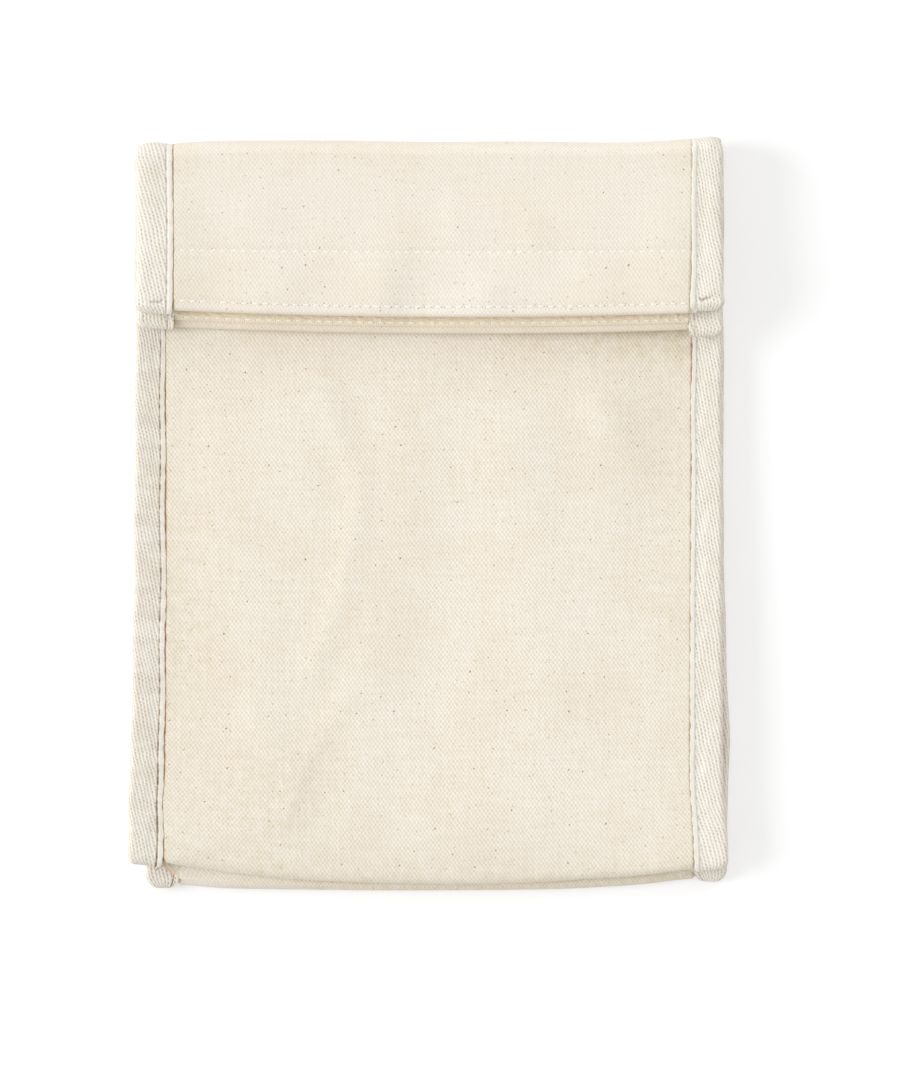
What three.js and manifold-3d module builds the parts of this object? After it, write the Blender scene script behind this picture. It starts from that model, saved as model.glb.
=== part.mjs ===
// An insulated lunch bag of natural cotton canvas, empty and pressed flat, lying on its back with its top
// folded over the front. Millimetres: +X across the bag, +Y from the bottom towards the crease, +Z up.
//
// One front-bottom-back strip is joined to two side gussets by four bound seams. Every wall is canvas outside,
// padding, and lining inside. The gussets and the bottom fold inwards like bellows. The top of the bag, with the
// mouth in it, folds over the front wall at the crease: its front layer carries the loop tape and its back layer
// the hook tape that close the mouth. Every layer is placed by its distance from the crease axis, so that one
// cross-section runs up the body, round the crease and down the flap.
import * as THREE from "three";
import { mergeVertices } from "three/addons/utils/BufferGeometryUtils.js";
import Module from "manifold-3d";

const wasm = await Module();
wasm.setup();

// Overall sizes
const bagWidth = 200;
const bagLength = 254;
const flapLength = 58;
const frontHemDrop = 5.5;
const frontBottomRise = 3;
const gussetLeaf = 46;

// Cloth
const canvasThick = 0.6;
const paddingThick = 1.2;
const liningThick = 0.2;
const plyGap = 0.1;
const wallGap = 0.3;
const foldGap = 0.4;

// Bound seams
const tapeThick = 0.8;
const tapeLip = 12;
const seamInset = 8;
const slotGap = 0.1;
const seamSlope = 4;
const cornerStrip = 4;

// Mouth closure
const closureWidth = 20;
const closureSideInset = 4;
const hookThick = 1.5;
const loopThick = 1.9;
const hookInset = 1.3;
const loopInset = 1.5;
const closureGap = 0.3;
const hemTurn = 23;
const gussetTopInset = 2;

// Folds
const creaseFlat = 0.45;
const bottomFlat = 0.9;
const hemFlat = 0.8;
const hingeDrop = 1.5;
const hingeGap = 0.3;
const foldSteps = 6;
const creaseSteps = 8;
const joinOverlap = 3;

// Distances of the layers from the crease axis
const wall = canvasThick + paddingThick + liningThick + 2 * plyGap;
const hemThick = canvasThick + plyGap;
const closureStack = 2 * (hemThick + plyGap) + hookThick + loopThick + closureGap;
const leafStack = 2 * (wall + wallGap) + foldGap;
const cavity = Math.max(leafStack, closureStack);
const frontNear = foldGap / 2;
const frontFar = frontNear + wall;
const backNear = frontFar + cavity;
const backFar = backNear + wall;
const frontLeafNear = frontFar + wallGap;
const frontLeafFar = frontLeafNear + wall;
const backLeafFar = backNear - wallGap;
const backLeafNear = backLeafFar - wall;
const leafFold = (frontLeafFar + backLeafNear) / 2;
const leafFoldHalfGap = (backLeafNear - frontLeafFar) / 2;
const frontBundle = (frontNear + frontLeafFar) / 2;
const backBundle = (backLeafNear + backFar) / 2;
const bundleHalf = (frontLeafFar - frontNear) / 2;

// Places in the bag's own frame, whose origin is under the middle of its box
const axisZ = backFar;
const axisY = bagLength / 2 - creaseFlat * backFar;
const bottomY = -bagLength / 2;
const frontBottomY = bottomY + frontBottomRise;
const backHemY = bagLength / 2 - flapLength;
const frontHemY = backHemY - frontHemDrop;
const hingeY = frontHemY - hingeDrop;
const halfWidth = bagWidth / 2;
const lipX = halfWidth - tapeLip;
const foldX = halfWidth - seamInset - gussetLeaf;
const bottomFoldY = bottomY + gussetLeaf;
const plyEdgeX = halfWidth - bundleHalf;
const seamFlatX = lipX - wallGap;
const seamStartX = seamFlatX - seamSlope;
const closureHalf = seamStartX - closureSideInset;
const hookY = backHemY + hookInset;
const loopY = frontHemY + loopInset;
const gussetTopY = hookY + closureWidth + gussetTopInset;

const materials = {
  canvas: new THREE.MeshStandardMaterial({ color: 0xf1e6d3, roughness: 0.95, metalness: 0 }),
  padding: new THREE.MeshStandardMaterial({ color: 0xf4f4f0, roughness: 0.9, metalness: 0 }),
  lining: new THREE.MeshStandardMaterial({ color: 0xc9ccce, roughness: 0.35, metalness: 0.3 }),
  tape: new THREE.MeshStandardMaterial({ color: 0xece5d8, roughness: 0.95, metalness: 0 }),
  closure: new THREE.MeshStandardMaterial({ color: 0xdcc9a4, roughness: 0.9, metalness: 0 }),
};

const bag = new THREE.Group();

function addNode(name, geometry, material) {
  const mesh = new THREE.Mesh(geometry, materials[material]);
  mesh.name = name;
  bag.add(mesh);
}

// Indexed triangles, turned to face outwards
function closedGeometry(points, triangles) {
  let volume = 0;
  for (const [a, b, c] of triangles) {
    volume += points[a].dot(new THREE.Vector3().crossVectors(points[b], points[c]));
  }
  const faces = volume < 0 ? triangles.map(([a, b, c]) => [a, c, b]) : triangles;
  const geometry = new THREE.BufferGeometry().setFromPoints(points);
  geometry.setIndex(faces.flat());
  return geometry;
}

// A solid that carries a closed outline of [u, v] points through a row of places; place(u, v) gives a point
function loft(outline, places) {
  const shape = outline.map(([u, v]) => new THREE.Vector2(u, v));
  if (THREE.ShapeUtils.isClockWise(shape)) shape.reverse();
  const count = shape.length;
  const caps = THREE.ShapeUtils.triangulateShape(shape, []);
  const points = places.flatMap((place) => shape.map((p) => place(p.x, p.y)));
  const last = (places.length - 1) * count;
  const triangles = [];
  for (const [a, b, c] of caps) {
    triangles.push([c, b, a]);
    triangles.push([last + a, last + b, last + c]);
  }
  for (let ring = 0; ring < last; ring += count) {
    for (let i = 0; i < count; i += 1) {
      const j = (i + 1) % count;
      triangles.push([ring + i, ring + j, ring + count + j]);
      triangles.push([ring + i, ring + count + j, ring + count + i]);
    }
  }
  return closedGeometry(points, triangles);
}

// Sections are outlines of [x, distance from the crease axis]
const bodyPlace = (y) => (x, r) => new THREE.Vector3(x, y, axisZ - r);
const flapPlace = (y) => (x, r) => new THREE.Vector3(x, y, axisZ + r);
const alongBody = (section, y0, y1) => loft(section, [bodyPlace(y0), bodyPlace(y1)]);
const alongFlap = (section, y0, y1) => loft(section, [flapPlace(y0), flapPlace(y1)]);

function roundCrease(section) {
  const places = [];
  for (let step = 0; step <= creaseSteps; step += 1) {
    const turn = (Math.PI * step) / creaseSteps;
    const rise = creaseFlat * Math.sin(turn);
    const drop = Math.cos(turn);
    places.push((x, r) => new THREE.Vector3(x, axisY + r * rise, axisZ - r * drop));
  }
  return loft(section, places);
}

// Profiles are outlines of [y, distance from the crease axis], carried across the bag
function acrossBody(profile, half) {
  return loft(profile, [-half, half].map((x) => (y, r) => new THREE.Vector3(x, y, axisZ - r)));
}

function acrossFlap(profile, half) {
  return loft(profile, [-half, half].map((x) => (y, r) => new THREE.Vector3(x, y, axisZ + r)));
}

function solidOf(geometry) {
  const merged = mergeVertices(geometry, 1e-4);
  return new wasm.Manifold(
    new wasm.Mesh({
      numProp: 3,
      vertProperties: merged.attributes.position.array,
      triVerts: new Uint32Array(merged.index.array),
    }),
  );
}

function geometryOf(solid) {
  const mesh = solid.getMesh();
  const geometry = new THREE.BufferGeometry();
  geometry.setAttribute("position", new THREE.BufferAttribute(new Float32Array(mesh.vertProperties), 3));
  geometry.setIndex(Array.from(mesh.triVerts));
  return geometry;
}

const join = (...pieces) => geometryOf(pieces.map(solidOf).reduce((a, b) => a.add(b)));

function upright(outline) {
  const under = (x, y) => new THREE.Vector3(x, y, -backFar);
  const over = (x, y) => new THREE.Vector3(x, y, 3 * backFar);
  return loft(outline, [under, over]);
}

// The near and far distance of each ply of a wall that starts at a distance from the axis
function plies(start, outermostFirst) {
  const order = [
    ["canvas", canvasThick],
    ["padding", paddingThick],
    ["lining", liningThick],
  ];
  if (!outermostFirst) order.reverse();
  const ranges = {};
  let r = start;
  for (const [name, thick] of order) {
    ranges[name] = [r, r + thick];
    r += thick + plyGap;
  }
  return ranges;
}

const frontPlies = plies(frontNear, true);
const backPlies = plies(backNear, false);
const leafPlies = plies(leafFoldHalfGap, true);
leafPlies.laminate = [leafFoldHalfGap, leafFoldHalfGap + wall];

// In a bound seam the plies are pressed together to fit inside the folded tape
function pressed(r, bundle) {
  const slotHalf = bundleHalf - tapeThick - slotGap;
  return bundle + ((r - bundle) * slotHalf) / bundleHalf;
}

function wallSection([near, far], bundle) {
  const edge = (r) => [
    [-plyEdgeX, pressed(r, bundle)],
    [-seamFlatX, pressed(r, bundle)],
    [-seamStartX, r],
    [seamStartX, r],
    [seamFlatX, pressed(r, bundle)],
    [plyEdgeX, pressed(r, bundle)],
  ];
  return [...edge(near), ...edge(far).reverse()];
}

// One face of a gusset leaf on one side of the bag, d away from the middle of its fold
function leafEdge(d, side, parts) {
  const frontSide = [
    [plyEdgeX, pressed(leafFold - d, frontBundle)],
    [seamFlatX, pressed(leafFold - d, frontBundle)],
    [seamStartX, leafFold - d],
    [foldX, leafFold - d],
  ];
  const backSide = [
    [foldX, leafFold + d],
    [seamStartX, leafFold + d],
    [seamFlatX, pressed(leafFold + d, backBundle)],
    [plyEdgeX, pressed(leafFold + d, backBundle)],
  ];
  const fold = [];
  for (let step = 1; step < foldSteps; step += 1) {
    const turn = (Math.PI * step) / foldSteps;
    fold.push([foldX - d * Math.sin(turn), leafFold - d * Math.cos(turn)]);
  }
  const chosen = { front: frontSide, both: [...frontSide, ...fold, ...backSide], back: [...fold, ...backSide] };
  return chosen[parts].map(([x, r]) => [side * x, r]);
}

function leafSection([near, far], side, parts) {
  return [...leafEdge(near, side, parts), ...leafEdge(far, side, parts).reverse()];
}

// Twill tape folded round a seam: two lips and a round outer edge
function tapeSection(bundle, side, filled) {
  const face = (half) => {
    const points = [[lipX, bundle - half]];
    for (let step = 0; step <= foldSteps; step += 1) {
      const turn = (Math.PI * step) / foldSteps;
      points.push([plyEdgeX + half * Math.sin(turn), bundle - half * Math.cos(turn)]);
    }
    points.push([lipX, bundle + half]);
    return points;
  };
  const outline = filled ? face(bundleHalf) : [...face(bundleHalf), ...face(bundleHalf - tapeThick).reverse()];
  return outline.map(([x, r]) => [side * x, r]);
}

// The mitre between the folded gusset and the folded bottom, a strip's width each side of it
const mitreGap = Math.SQRT2 * (cornerStrip / 2 + wallGap);
const mitreX = (y, shift) => foldX + (bottomFoldY - y) + shift;

function bottomRegion() {
  const low = bottomY - bundleHalf;
  const high = bottomFoldY + 2 * bundleHalf;
  const mitreY = (x) => foldX + bottomFoldY - mitreGap - x;
  const pressedY = bottomY + bottomFlat * bundleHalf;
  const right = [
    [seamFlatX, low],
    [seamFlatX, mitreY(seamFlatX)],
    [mitreX(pressedY, -mitreGap), pressedY],
    [seamStartX, pressedY],
    [seamStartX, mitreY(seamStartX)],
    [mitreX(high, -mitreGap), high],
  ];
  const left = right.map(([x, y]) => [-x, y]).reverse();
  return solidOf(upright([...right, ...left]));
}

function belowMitre(side) {
  const low = bottomY - gussetLeaf;
  const high = bottomFoldY + 2 * bundleHalf;
  const outline = [
    [side * mitreX(low, mitreGap), low],
    [side * mitreX(high, mitreGap), high],
    [0, high],
    [0, low],
  ];
  return solidOf(upright(outline));
}

// One face of the front strip where it turns under into the bottom's front leaf, d from the turn's middle
function frontTurn(d) {
  const turnY = frontBottomY + bottomFlat * bundleHalf;
  const points = [[turnY + joinOverlap, frontBundle - d]];
  for (let step = 0; step <= foldSteps; step += 1) {
    const turn = (Math.PI * step) / foldSteps;
    points.push([turnY - bottomFlat * d * Math.sin(turn), frontBundle - d * Math.cos(turn)]);
  }
  points.push([bottomFoldY - plyGap, frontBundle + d]);
  return points;
}

// The same for the back strip, which goes on round the fold in the middle of the bottom
function backTurn(d) {
  const turnY = bottomY + bottomFlat * bundleHalf;
  const foldD = backBundle - leafFold - d;
  const points = [[turnY + joinOverlap, backBundle + d]];
  for (let step = 0; step <= foldSteps; step += 1) {
    const turn = (Math.PI * step) / foldSteps;
    points.push([turnY - bottomFlat * d * Math.sin(turn), backBundle + d * Math.cos(turn)]);
  }
  for (let step = 0; step <= foldSteps; step += 1) {
    const turn = (Math.PI * step) / foldSteps;
    points.push([bottomFoldY + foldD * Math.sin(turn), leafFold + foldD * Math.cos(turn)]);
  }
  return points;
}

function turnedWall(section, profile, y0, y1) {
  const turned = solidOf(acrossBody(profile, halfWidth)).intersect(bottomRegion());
  return geometryOf(solidOf(alongBody(section, y0, y1)).add(turned));
}

function addFrontWall() {
  for (const [ply, [near, far]] of Object.entries(frontPlies)) {
    const section = wallSection([near, far], frontBundle);
    const profile = [...frontTurn(frontBundle - near), ...frontTurn(frontBundle - far).reverse()];
    const y0 = frontBottomY + bottomFlat * bundleHalf;
    addNode(`front_${ply}`, turnedWall(section, profile, y0, hingeY), ply);
    addNode(`front_top_${ply}`, alongBody(section, hingeY + hingeGap, axisY), ply);
    addNode(`front_crease_${ply}`, roundCrease(section), ply);
  }
}

function addBackWall() {
  for (const [ply, [near, far]] of Object.entries(backPlies)) {
    const section = wallSection([near, far], backBundle);
    const profile = [...backTurn(far - backBundle), ...backTurn(near - backBundle).reverse()];
    const y0 = bottomY + bottomFlat * bundleHalf;
    addNode(`back_${ply}`, turnedWall(section, profile, y0, axisY), ply);
    addNode(`back_crease_${ply}`, roundCrease(section), ply);
  }
}

const sides = [
  ["left", -1],
  ["right", 1],
];

// Below the hinge line the front leaf swings with the front wall; above it both leaves stay with the back
function addGussets() {
  const frontY = frontBottomY + tapeThick + wallGap;
  const backY = bottomY + tapeThick + wallGap;
  for (const [name, side] of sides) {
    const cut = belowMitre(side);
    for (const ply of ["canvas", "padding", "lining"]) {
      const range = leafPlies[ply];
      const backLeaf = solidOf(alongBody(leafSection(range, side, "back"), backY, axisY)).subtract(cut);
      const topLeaf = solidOf(alongBody(leafSection(range, side, "both"), hingeY + hingeGap, axisY));
      addNode(`${name}_gusset_${ply}`, geometryOf(backLeaf.add(topLeaf)), ply);
      const frontLeaf = solidOf(alongBody(leafSection(range, side, "front"), frontY, hingeY)).subtract(cut);
      addNode(`${name}_gusset_front_leaf_${ply}`, geometryOf(frontLeaf), ply);
    }
    const whole = leafSection(leafPlies.laminate, side, "both");
    addNode(`${name}_gusset_crease`, roundCrease(whole), "canvas");
    const flapFrontLeaf = leafSection(leafPlies.laminate, side, "front");
    addNode(`${name}_gusset_flap_front_leaf`, alongFlap(flapFrontLeaf, gussetTopY, axisY), "canvas");
    const flapBackLeaf = leafSection(leafPlies.laminate, side, "back");
    addNode(`${name}_gusset_flap_back_leaf`, alongFlap(flapBackLeaf, gussetTopY, axisY), "canvas");
  }
}

// The tape's run along the bottom's side seam, which lies in the mitre between the folded leaves
function cornerRun(side, nearR, farR) {
  const startY = bottomY + frontBottomRise + wallGap;
  const endY = bottomFoldY - wallGap;
  const outline = [
    [side * (mitreX(startY, 0) - cornerStrip / Math.SQRT2), startY],
    [side * (mitreX(startY, 0) + cornerStrip / Math.SQRT2), startY],
    [side * (mitreX(endY, 0) + cornerStrip / Math.SQRT2), endY],
    [side * (mitreX(endY, 0) - cornerStrip / Math.SQRT2), endY],
  ];
  const low = (x, y) => new THREE.Vector3(x, y, axisZ - farR);
  const high = (x, y) => new THREE.Vector3(x, y, axisZ - nearR);
  return loft(outline, [low, high]);
}

function boundSeam(bundle, side, y0, y1, run) {
  const channel = alongBody(tapeSection(bundle, side, false), y0 - tapeThick / 2, y1);
  const end = alongBody(tapeSection(bundle, side, true), y0 - tapeThick, y0);
  return join(channel, end, run);
}

function flapSeam(bundle, side, hemY) {
  const channel = alongFlap(tapeSection(bundle, side, false), hemY - tapeThick / 2, axisY);
  const end = alongFlap(tapeSection(bundle, side, true), hemY - tapeThick, hemY - slotGap);
  return join(channel, end);
}

function addTapes() {
  for (const [name, side] of sides) {
    const frontSection = tapeSection(frontBundle, side, false);
    const frontRun = cornerRun(side, frontLeafNear + slotGap, frontLeafFar);
    const frontSeam = boundSeam(frontBundle, side, frontBottomY + tapeThick, hingeY, frontRun);
    addNode(`front_${name}_tape`, frontSeam, "tape");
    addNode(`front_${name}_tape_top`, alongBody(frontSection, hingeY + hingeGap, axisY), "tape");
    addNode(`front_${name}_tape_crease`, roundCrease(frontSection), "tape");
    addNode(`flap_front_${name}_tape`, flapSeam(frontBundle, side, frontHemY), "tape");
    const backSection = tapeSection(backBundle, side, false);
    const backRun = cornerRun(side, backLeafNear, backLeafFar - slotGap);
    const backSeam = boundSeam(backBundle, side, bottomY + tapeThick, axisY, backRun);
    addNode(`back_${name}_tape`, backSeam, "tape");
    addNode(`back_${name}_tape_crease`, roundCrease(backSection), "tape");
    addNode(`flap_back_${name}_tape`, flapSeam(backBundle, side, backHemY), "tape");
  }
}

// Canvas of one flap layer: the wall, and the hem turned in over the lining. outer and inner are the
// distances of the wall's outer face and of the turned hem's free face.
function hemmedCanvas(range, bundle, outer, inner, hemY) {
  const middle = (outer + inner) / 2;
  const half = (inner - outer) / 2;
  const turnY = hemY + hemFlat * Math.abs(half);
  const face = (d) => {
    const points = [[turnY + joinOverlap, middle - d]];
    for (let step = 0; step <= foldSteps; step += 1) {
      const turn = (Math.PI * step) / foldSteps;
      points.push([turnY - hemFlat * Math.abs(d) * Math.sin(turn), middle - d * Math.cos(turn)]);
    }
    points.push([hemY + hemTurn, middle + d]);
    return points;
  };
  const thin = half - Math.sign(half) * canvasThick;
  const hem = acrossFlap([...face(half), ...face(thin).reverse()], seamStartX);
  return join(alongFlap(wallSection(range, bundle), turnY, axisY), hem);
}

function closureTape(y0, near, far) {
  const y1 = y0 + closureWidth;
  const outline = [
    [y0, near],
    [y1, near],
    [y1, far],
    [y0, far],
  ];
  return acrossFlap(outline, closureHalf);
}

function addFlap() {
  const frontTurnedHem = frontFar + hemThick;
  const backTurnedHem = backNear - hemThick;
  const hemRoom = hemFlat * (wall + hemThick);
  const frontCanvas = hemmedCanvas(frontPlies.canvas, frontBundle, frontNear, frontTurnedHem, frontHemY);
  const backCanvas = hemmedCanvas(backPlies.canvas, backBundle, backFar, backTurnedHem, backHemY);
  addNode("flap_front_canvas", frontCanvas, "canvas");
  addNode("flap_back_canvas", backCanvas, "canvas");
  for (const ply of ["padding", "lining"]) {
    const frontSection = wallSection(frontPlies[ply], frontBundle);
    addNode(`flap_front_${ply}`, alongFlap(frontSection, frontHemY + hemRoom, axisY), ply);
    const backSection = wallSection(backPlies[ply], backBundle);
    addNode(`flap_back_${ply}`, alongFlap(backSection, backHemY + hemRoom, axisY), ply);
  }
  const loopNear = frontTurnedHem + plyGap;
  const hookFar = backTurnedHem - plyGap;
  addNode("loop_tape", closureTape(loopY, loopNear, loopNear + loopThick), "closure");
  addNode("hook_tape", closureTape(hookY, hookFar - hookThick, hookFar), "closure");
}

addFrontWall();
addBackWall();
addGussets();
addTapes();
addFlap();

export default bag;
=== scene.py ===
"""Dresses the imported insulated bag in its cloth, tapes, stitches and lining, and lights it for a picture.

The bag lies flat on its back with its top folded over the front. Lengths are millimetres in the bag's own
frame, +X across it, +Y from its bottom to the crease and +Z up, and become metres where a mesh is made. As in
the part's source, a layer of cloth is placed by its distance from the crease axis.
"""

from __future__ import annotations

import logging
import math
import sys
from dataclasses import dataclass, field, replace
from enum import Enum
from functools import cached_property
from typing import Any, Sequence

import bmesh
import bpy
import numpy as np
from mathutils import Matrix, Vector

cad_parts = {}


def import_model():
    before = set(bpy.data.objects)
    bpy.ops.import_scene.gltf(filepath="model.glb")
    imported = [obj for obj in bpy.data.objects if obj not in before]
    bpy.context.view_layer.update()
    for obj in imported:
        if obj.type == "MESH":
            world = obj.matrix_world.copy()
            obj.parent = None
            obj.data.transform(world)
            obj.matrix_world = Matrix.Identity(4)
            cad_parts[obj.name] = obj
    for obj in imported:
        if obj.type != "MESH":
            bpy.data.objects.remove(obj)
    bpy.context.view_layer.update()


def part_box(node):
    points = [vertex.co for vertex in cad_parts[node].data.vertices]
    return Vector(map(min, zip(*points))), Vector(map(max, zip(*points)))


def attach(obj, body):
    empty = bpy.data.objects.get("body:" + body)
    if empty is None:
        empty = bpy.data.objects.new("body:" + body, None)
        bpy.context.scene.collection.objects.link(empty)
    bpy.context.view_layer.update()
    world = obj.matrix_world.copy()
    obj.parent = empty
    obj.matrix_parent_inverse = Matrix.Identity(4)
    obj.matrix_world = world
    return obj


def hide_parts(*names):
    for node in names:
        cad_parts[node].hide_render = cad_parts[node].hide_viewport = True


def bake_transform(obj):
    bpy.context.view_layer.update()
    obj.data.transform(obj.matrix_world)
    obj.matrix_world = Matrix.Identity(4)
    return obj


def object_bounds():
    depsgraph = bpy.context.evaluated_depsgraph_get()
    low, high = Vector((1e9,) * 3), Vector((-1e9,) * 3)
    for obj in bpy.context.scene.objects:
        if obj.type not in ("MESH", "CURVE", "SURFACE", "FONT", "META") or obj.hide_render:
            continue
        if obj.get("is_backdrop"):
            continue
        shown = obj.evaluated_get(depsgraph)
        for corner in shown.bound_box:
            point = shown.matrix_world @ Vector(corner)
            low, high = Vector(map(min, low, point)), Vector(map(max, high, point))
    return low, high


LOG = logging.getLogger("bag")
MM = 0.001
TURN = 2 * math.pi
WHITE = (1.0, 1.0, 1.0, 1.0)
SHARP_ANGLE = math.radians(50)
BEAD_GRID = (5, 7)
BEAD_UP = (0.13, 0.21, 0.97)
BEAD_BLUNTNESS = 0.6

Grid = np.ndarray
Colour = tuple[float, float, float, float]


def tone(red: int, green: int, blue: int) -> Colour:
    """Gives the linear colour, with full alpha, of a screen colour whose parts go from 0 to 255."""
    linear = [((c / 255 + 0.055) / 1.055) ** 2.4 for c in (red, green, blue)]
    return (linear[0], linear[1], linear[2], 1.0)


def ramp(value: Grid | float, start: float, end: float) -> Grid:
    """Goes smoothly from 0 at start to 1 at end."""
    t = np.clip((value - start) / (end - start), 0.0, 1.0)
    return t * t * (3 - 2 * t)


def bell(value: Grid, centre: Grid | float, width: float) -> Grid:
    """Gives a soft bump that is 1 at its centre."""
    return np.exp(-(((value - centre) / width) ** 2))


def join(*parts: Grid | float) -> Grid:
    """Joins grids of numbers to one grid of points."""
    return np.stack(np.broadcast_arrays(*parts), axis=-1)


def through(points: Sequence[Sequence[float]], count: int) -> Grid:
    """Draws a smooth curve through a few points.

    Args:
        points: The points, two or more numbers each.
        count: How many points the curve gets.

    Returns:
        The curve's points, one row each.
    """
    known = np.array(points, float)
    padded = np.vstack([2 * known[0] - known[1], known, 2 * known[-1] - known[-2]])
    place = np.linspace(0, len(known) - 1, count)
    start = np.minimum(place.astype(int), len(known) - 2)
    t = (place - start)[:, None]
    a, b, c, d = (padded[start + k] for k in range(4))
    return 0.5 * (2 * b + (c - a) * t + (2 * a - 5 * b + 4 * c - d) * t**2 + (3 * b - a - 3 * c + d) * t**3)


def lengths(points: Grid, axis: int = 0) -> Grid:
    """Measures how far along an axis of a grid each point lies."""
    steps = np.linalg.norm(np.diff(points, axis=axis), axis=-1)
    start = np.zeros_like(np.take(steps, [0], axis=axis))
    return np.concatenate([start, np.cumsum(steps, axis=axis)], axis=axis)


def columns(places: Sequence[float], steps: Sequence[int]) -> Grid:
    """Spaces columns evenly between a few places, the same on both sides of the middle."""
    right = [np.linspace(a, b, n, endpoint=False) for a, b, n in zip(places, places[1:], steps)]
    right = np.append(np.concatenate(right), places[-1])
    return np.concatenate([-right[:0:-1], right])


class Ripple:
    """Smooth seeded waves over a sheet of cloth, from about -1 to 1."""

    def __init__(self, seed: int, across: float, along: float, count: int = 18) -> None:
        """Picks the waves.

        Args:
            seed: Seed of the choice.
            across: Usual length of a wave across the bag.
            along: Usual length of a wave along the bag.
            count: How many waves are added up.
        """
        pick = np.random.default_rng(seed)
        heading = pick.uniform(0, TURN, count)
        pace = TURN * pick.uniform(0.6, 1.5, count)
        turns_x = pace * np.cos(heading) / across
        turns_y = pace * np.sin(heading) / along
        self.waves = list(zip(turns_x, turns_y, pick.uniform(0, TURN, count)))

    def __call__(self, x: Grid | float, y: Grid) -> Grid:
        """Gives the height of the waves at each place."""
        total = np.zeros(np.broadcast(x, y).shape)
        for turn_x, turn_y, phase in self.waves:
            total = total + np.sin(turn_x * x + turn_y * y + phase)
        return total / math.sqrt(len(self.waves))


class Value:
    """A socket of a shader, on which Python's operators add Math nodes."""

    def __init__(self, shader: Shader, socket: bpy.types.NodeSocket | None) -> None:
        """Wraps a socket of a shader."""
        self.shader = shader
        self.socket = socket

    def _math(self, operation: str, *values: Any) -> Value:
        """Adds a Math node."""
        return self.shader.node("ShaderNodeMath", dict(enumerate(values)), operation=operation)

    def __add__(self, other: Any) -> Value:
        """Adds."""
        return self._math("ADD", self, other)

    def __radd__(self, other: Any) -> Value:
        """Adds to a number."""
        return self._math("ADD", other, self)

    def __sub__(self, other: Any) -> Value:
        """Subtracts."""
        return self._math("SUBTRACT", self, other)

    def __rsub__(self, other: Any) -> Value:
        """Subtracts from a number."""
        return self._math("SUBTRACT", other, self)

    def __mul__(self, other: Any) -> Value:
        """Multiplies."""
        return self._math("MULTIPLY", self, other)

    def __truediv__(self, other: Any) -> Value:
        """Divides."""
        return self._math("DIVIDE", self, other)

    def __lt__(self, other: Any) -> Value:
        """Gives 1 where it is less, and 0 elsewhere."""
        return self._math("LESS_THAN", self, other)

    def cosine(self) -> Value:
        """Gives the cosine."""
        return self._math("COSINE", self)

    def wave(self) -> Value:
        """Gives a wave from 0 to 1 that repeats at each whole number."""
        return (self * TURN).cosine() * 0.5 + 0.5

    def clipped(self) -> Value:
        """Keeps the value between 0 and 1."""
        return self.shader.node("ShaderNodeClamp", {"Value": self})

    def between(self, low: float, high: float) -> Value:
        """Goes smoothly from 0 at low to 1 at high."""
        sockets = {"Value": self, "From Min": low, "From Max": high}
        return self.shader.node("ShaderNodeMapRange", sockets, interpolation_type="SMOOTHSTEP")


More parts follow.
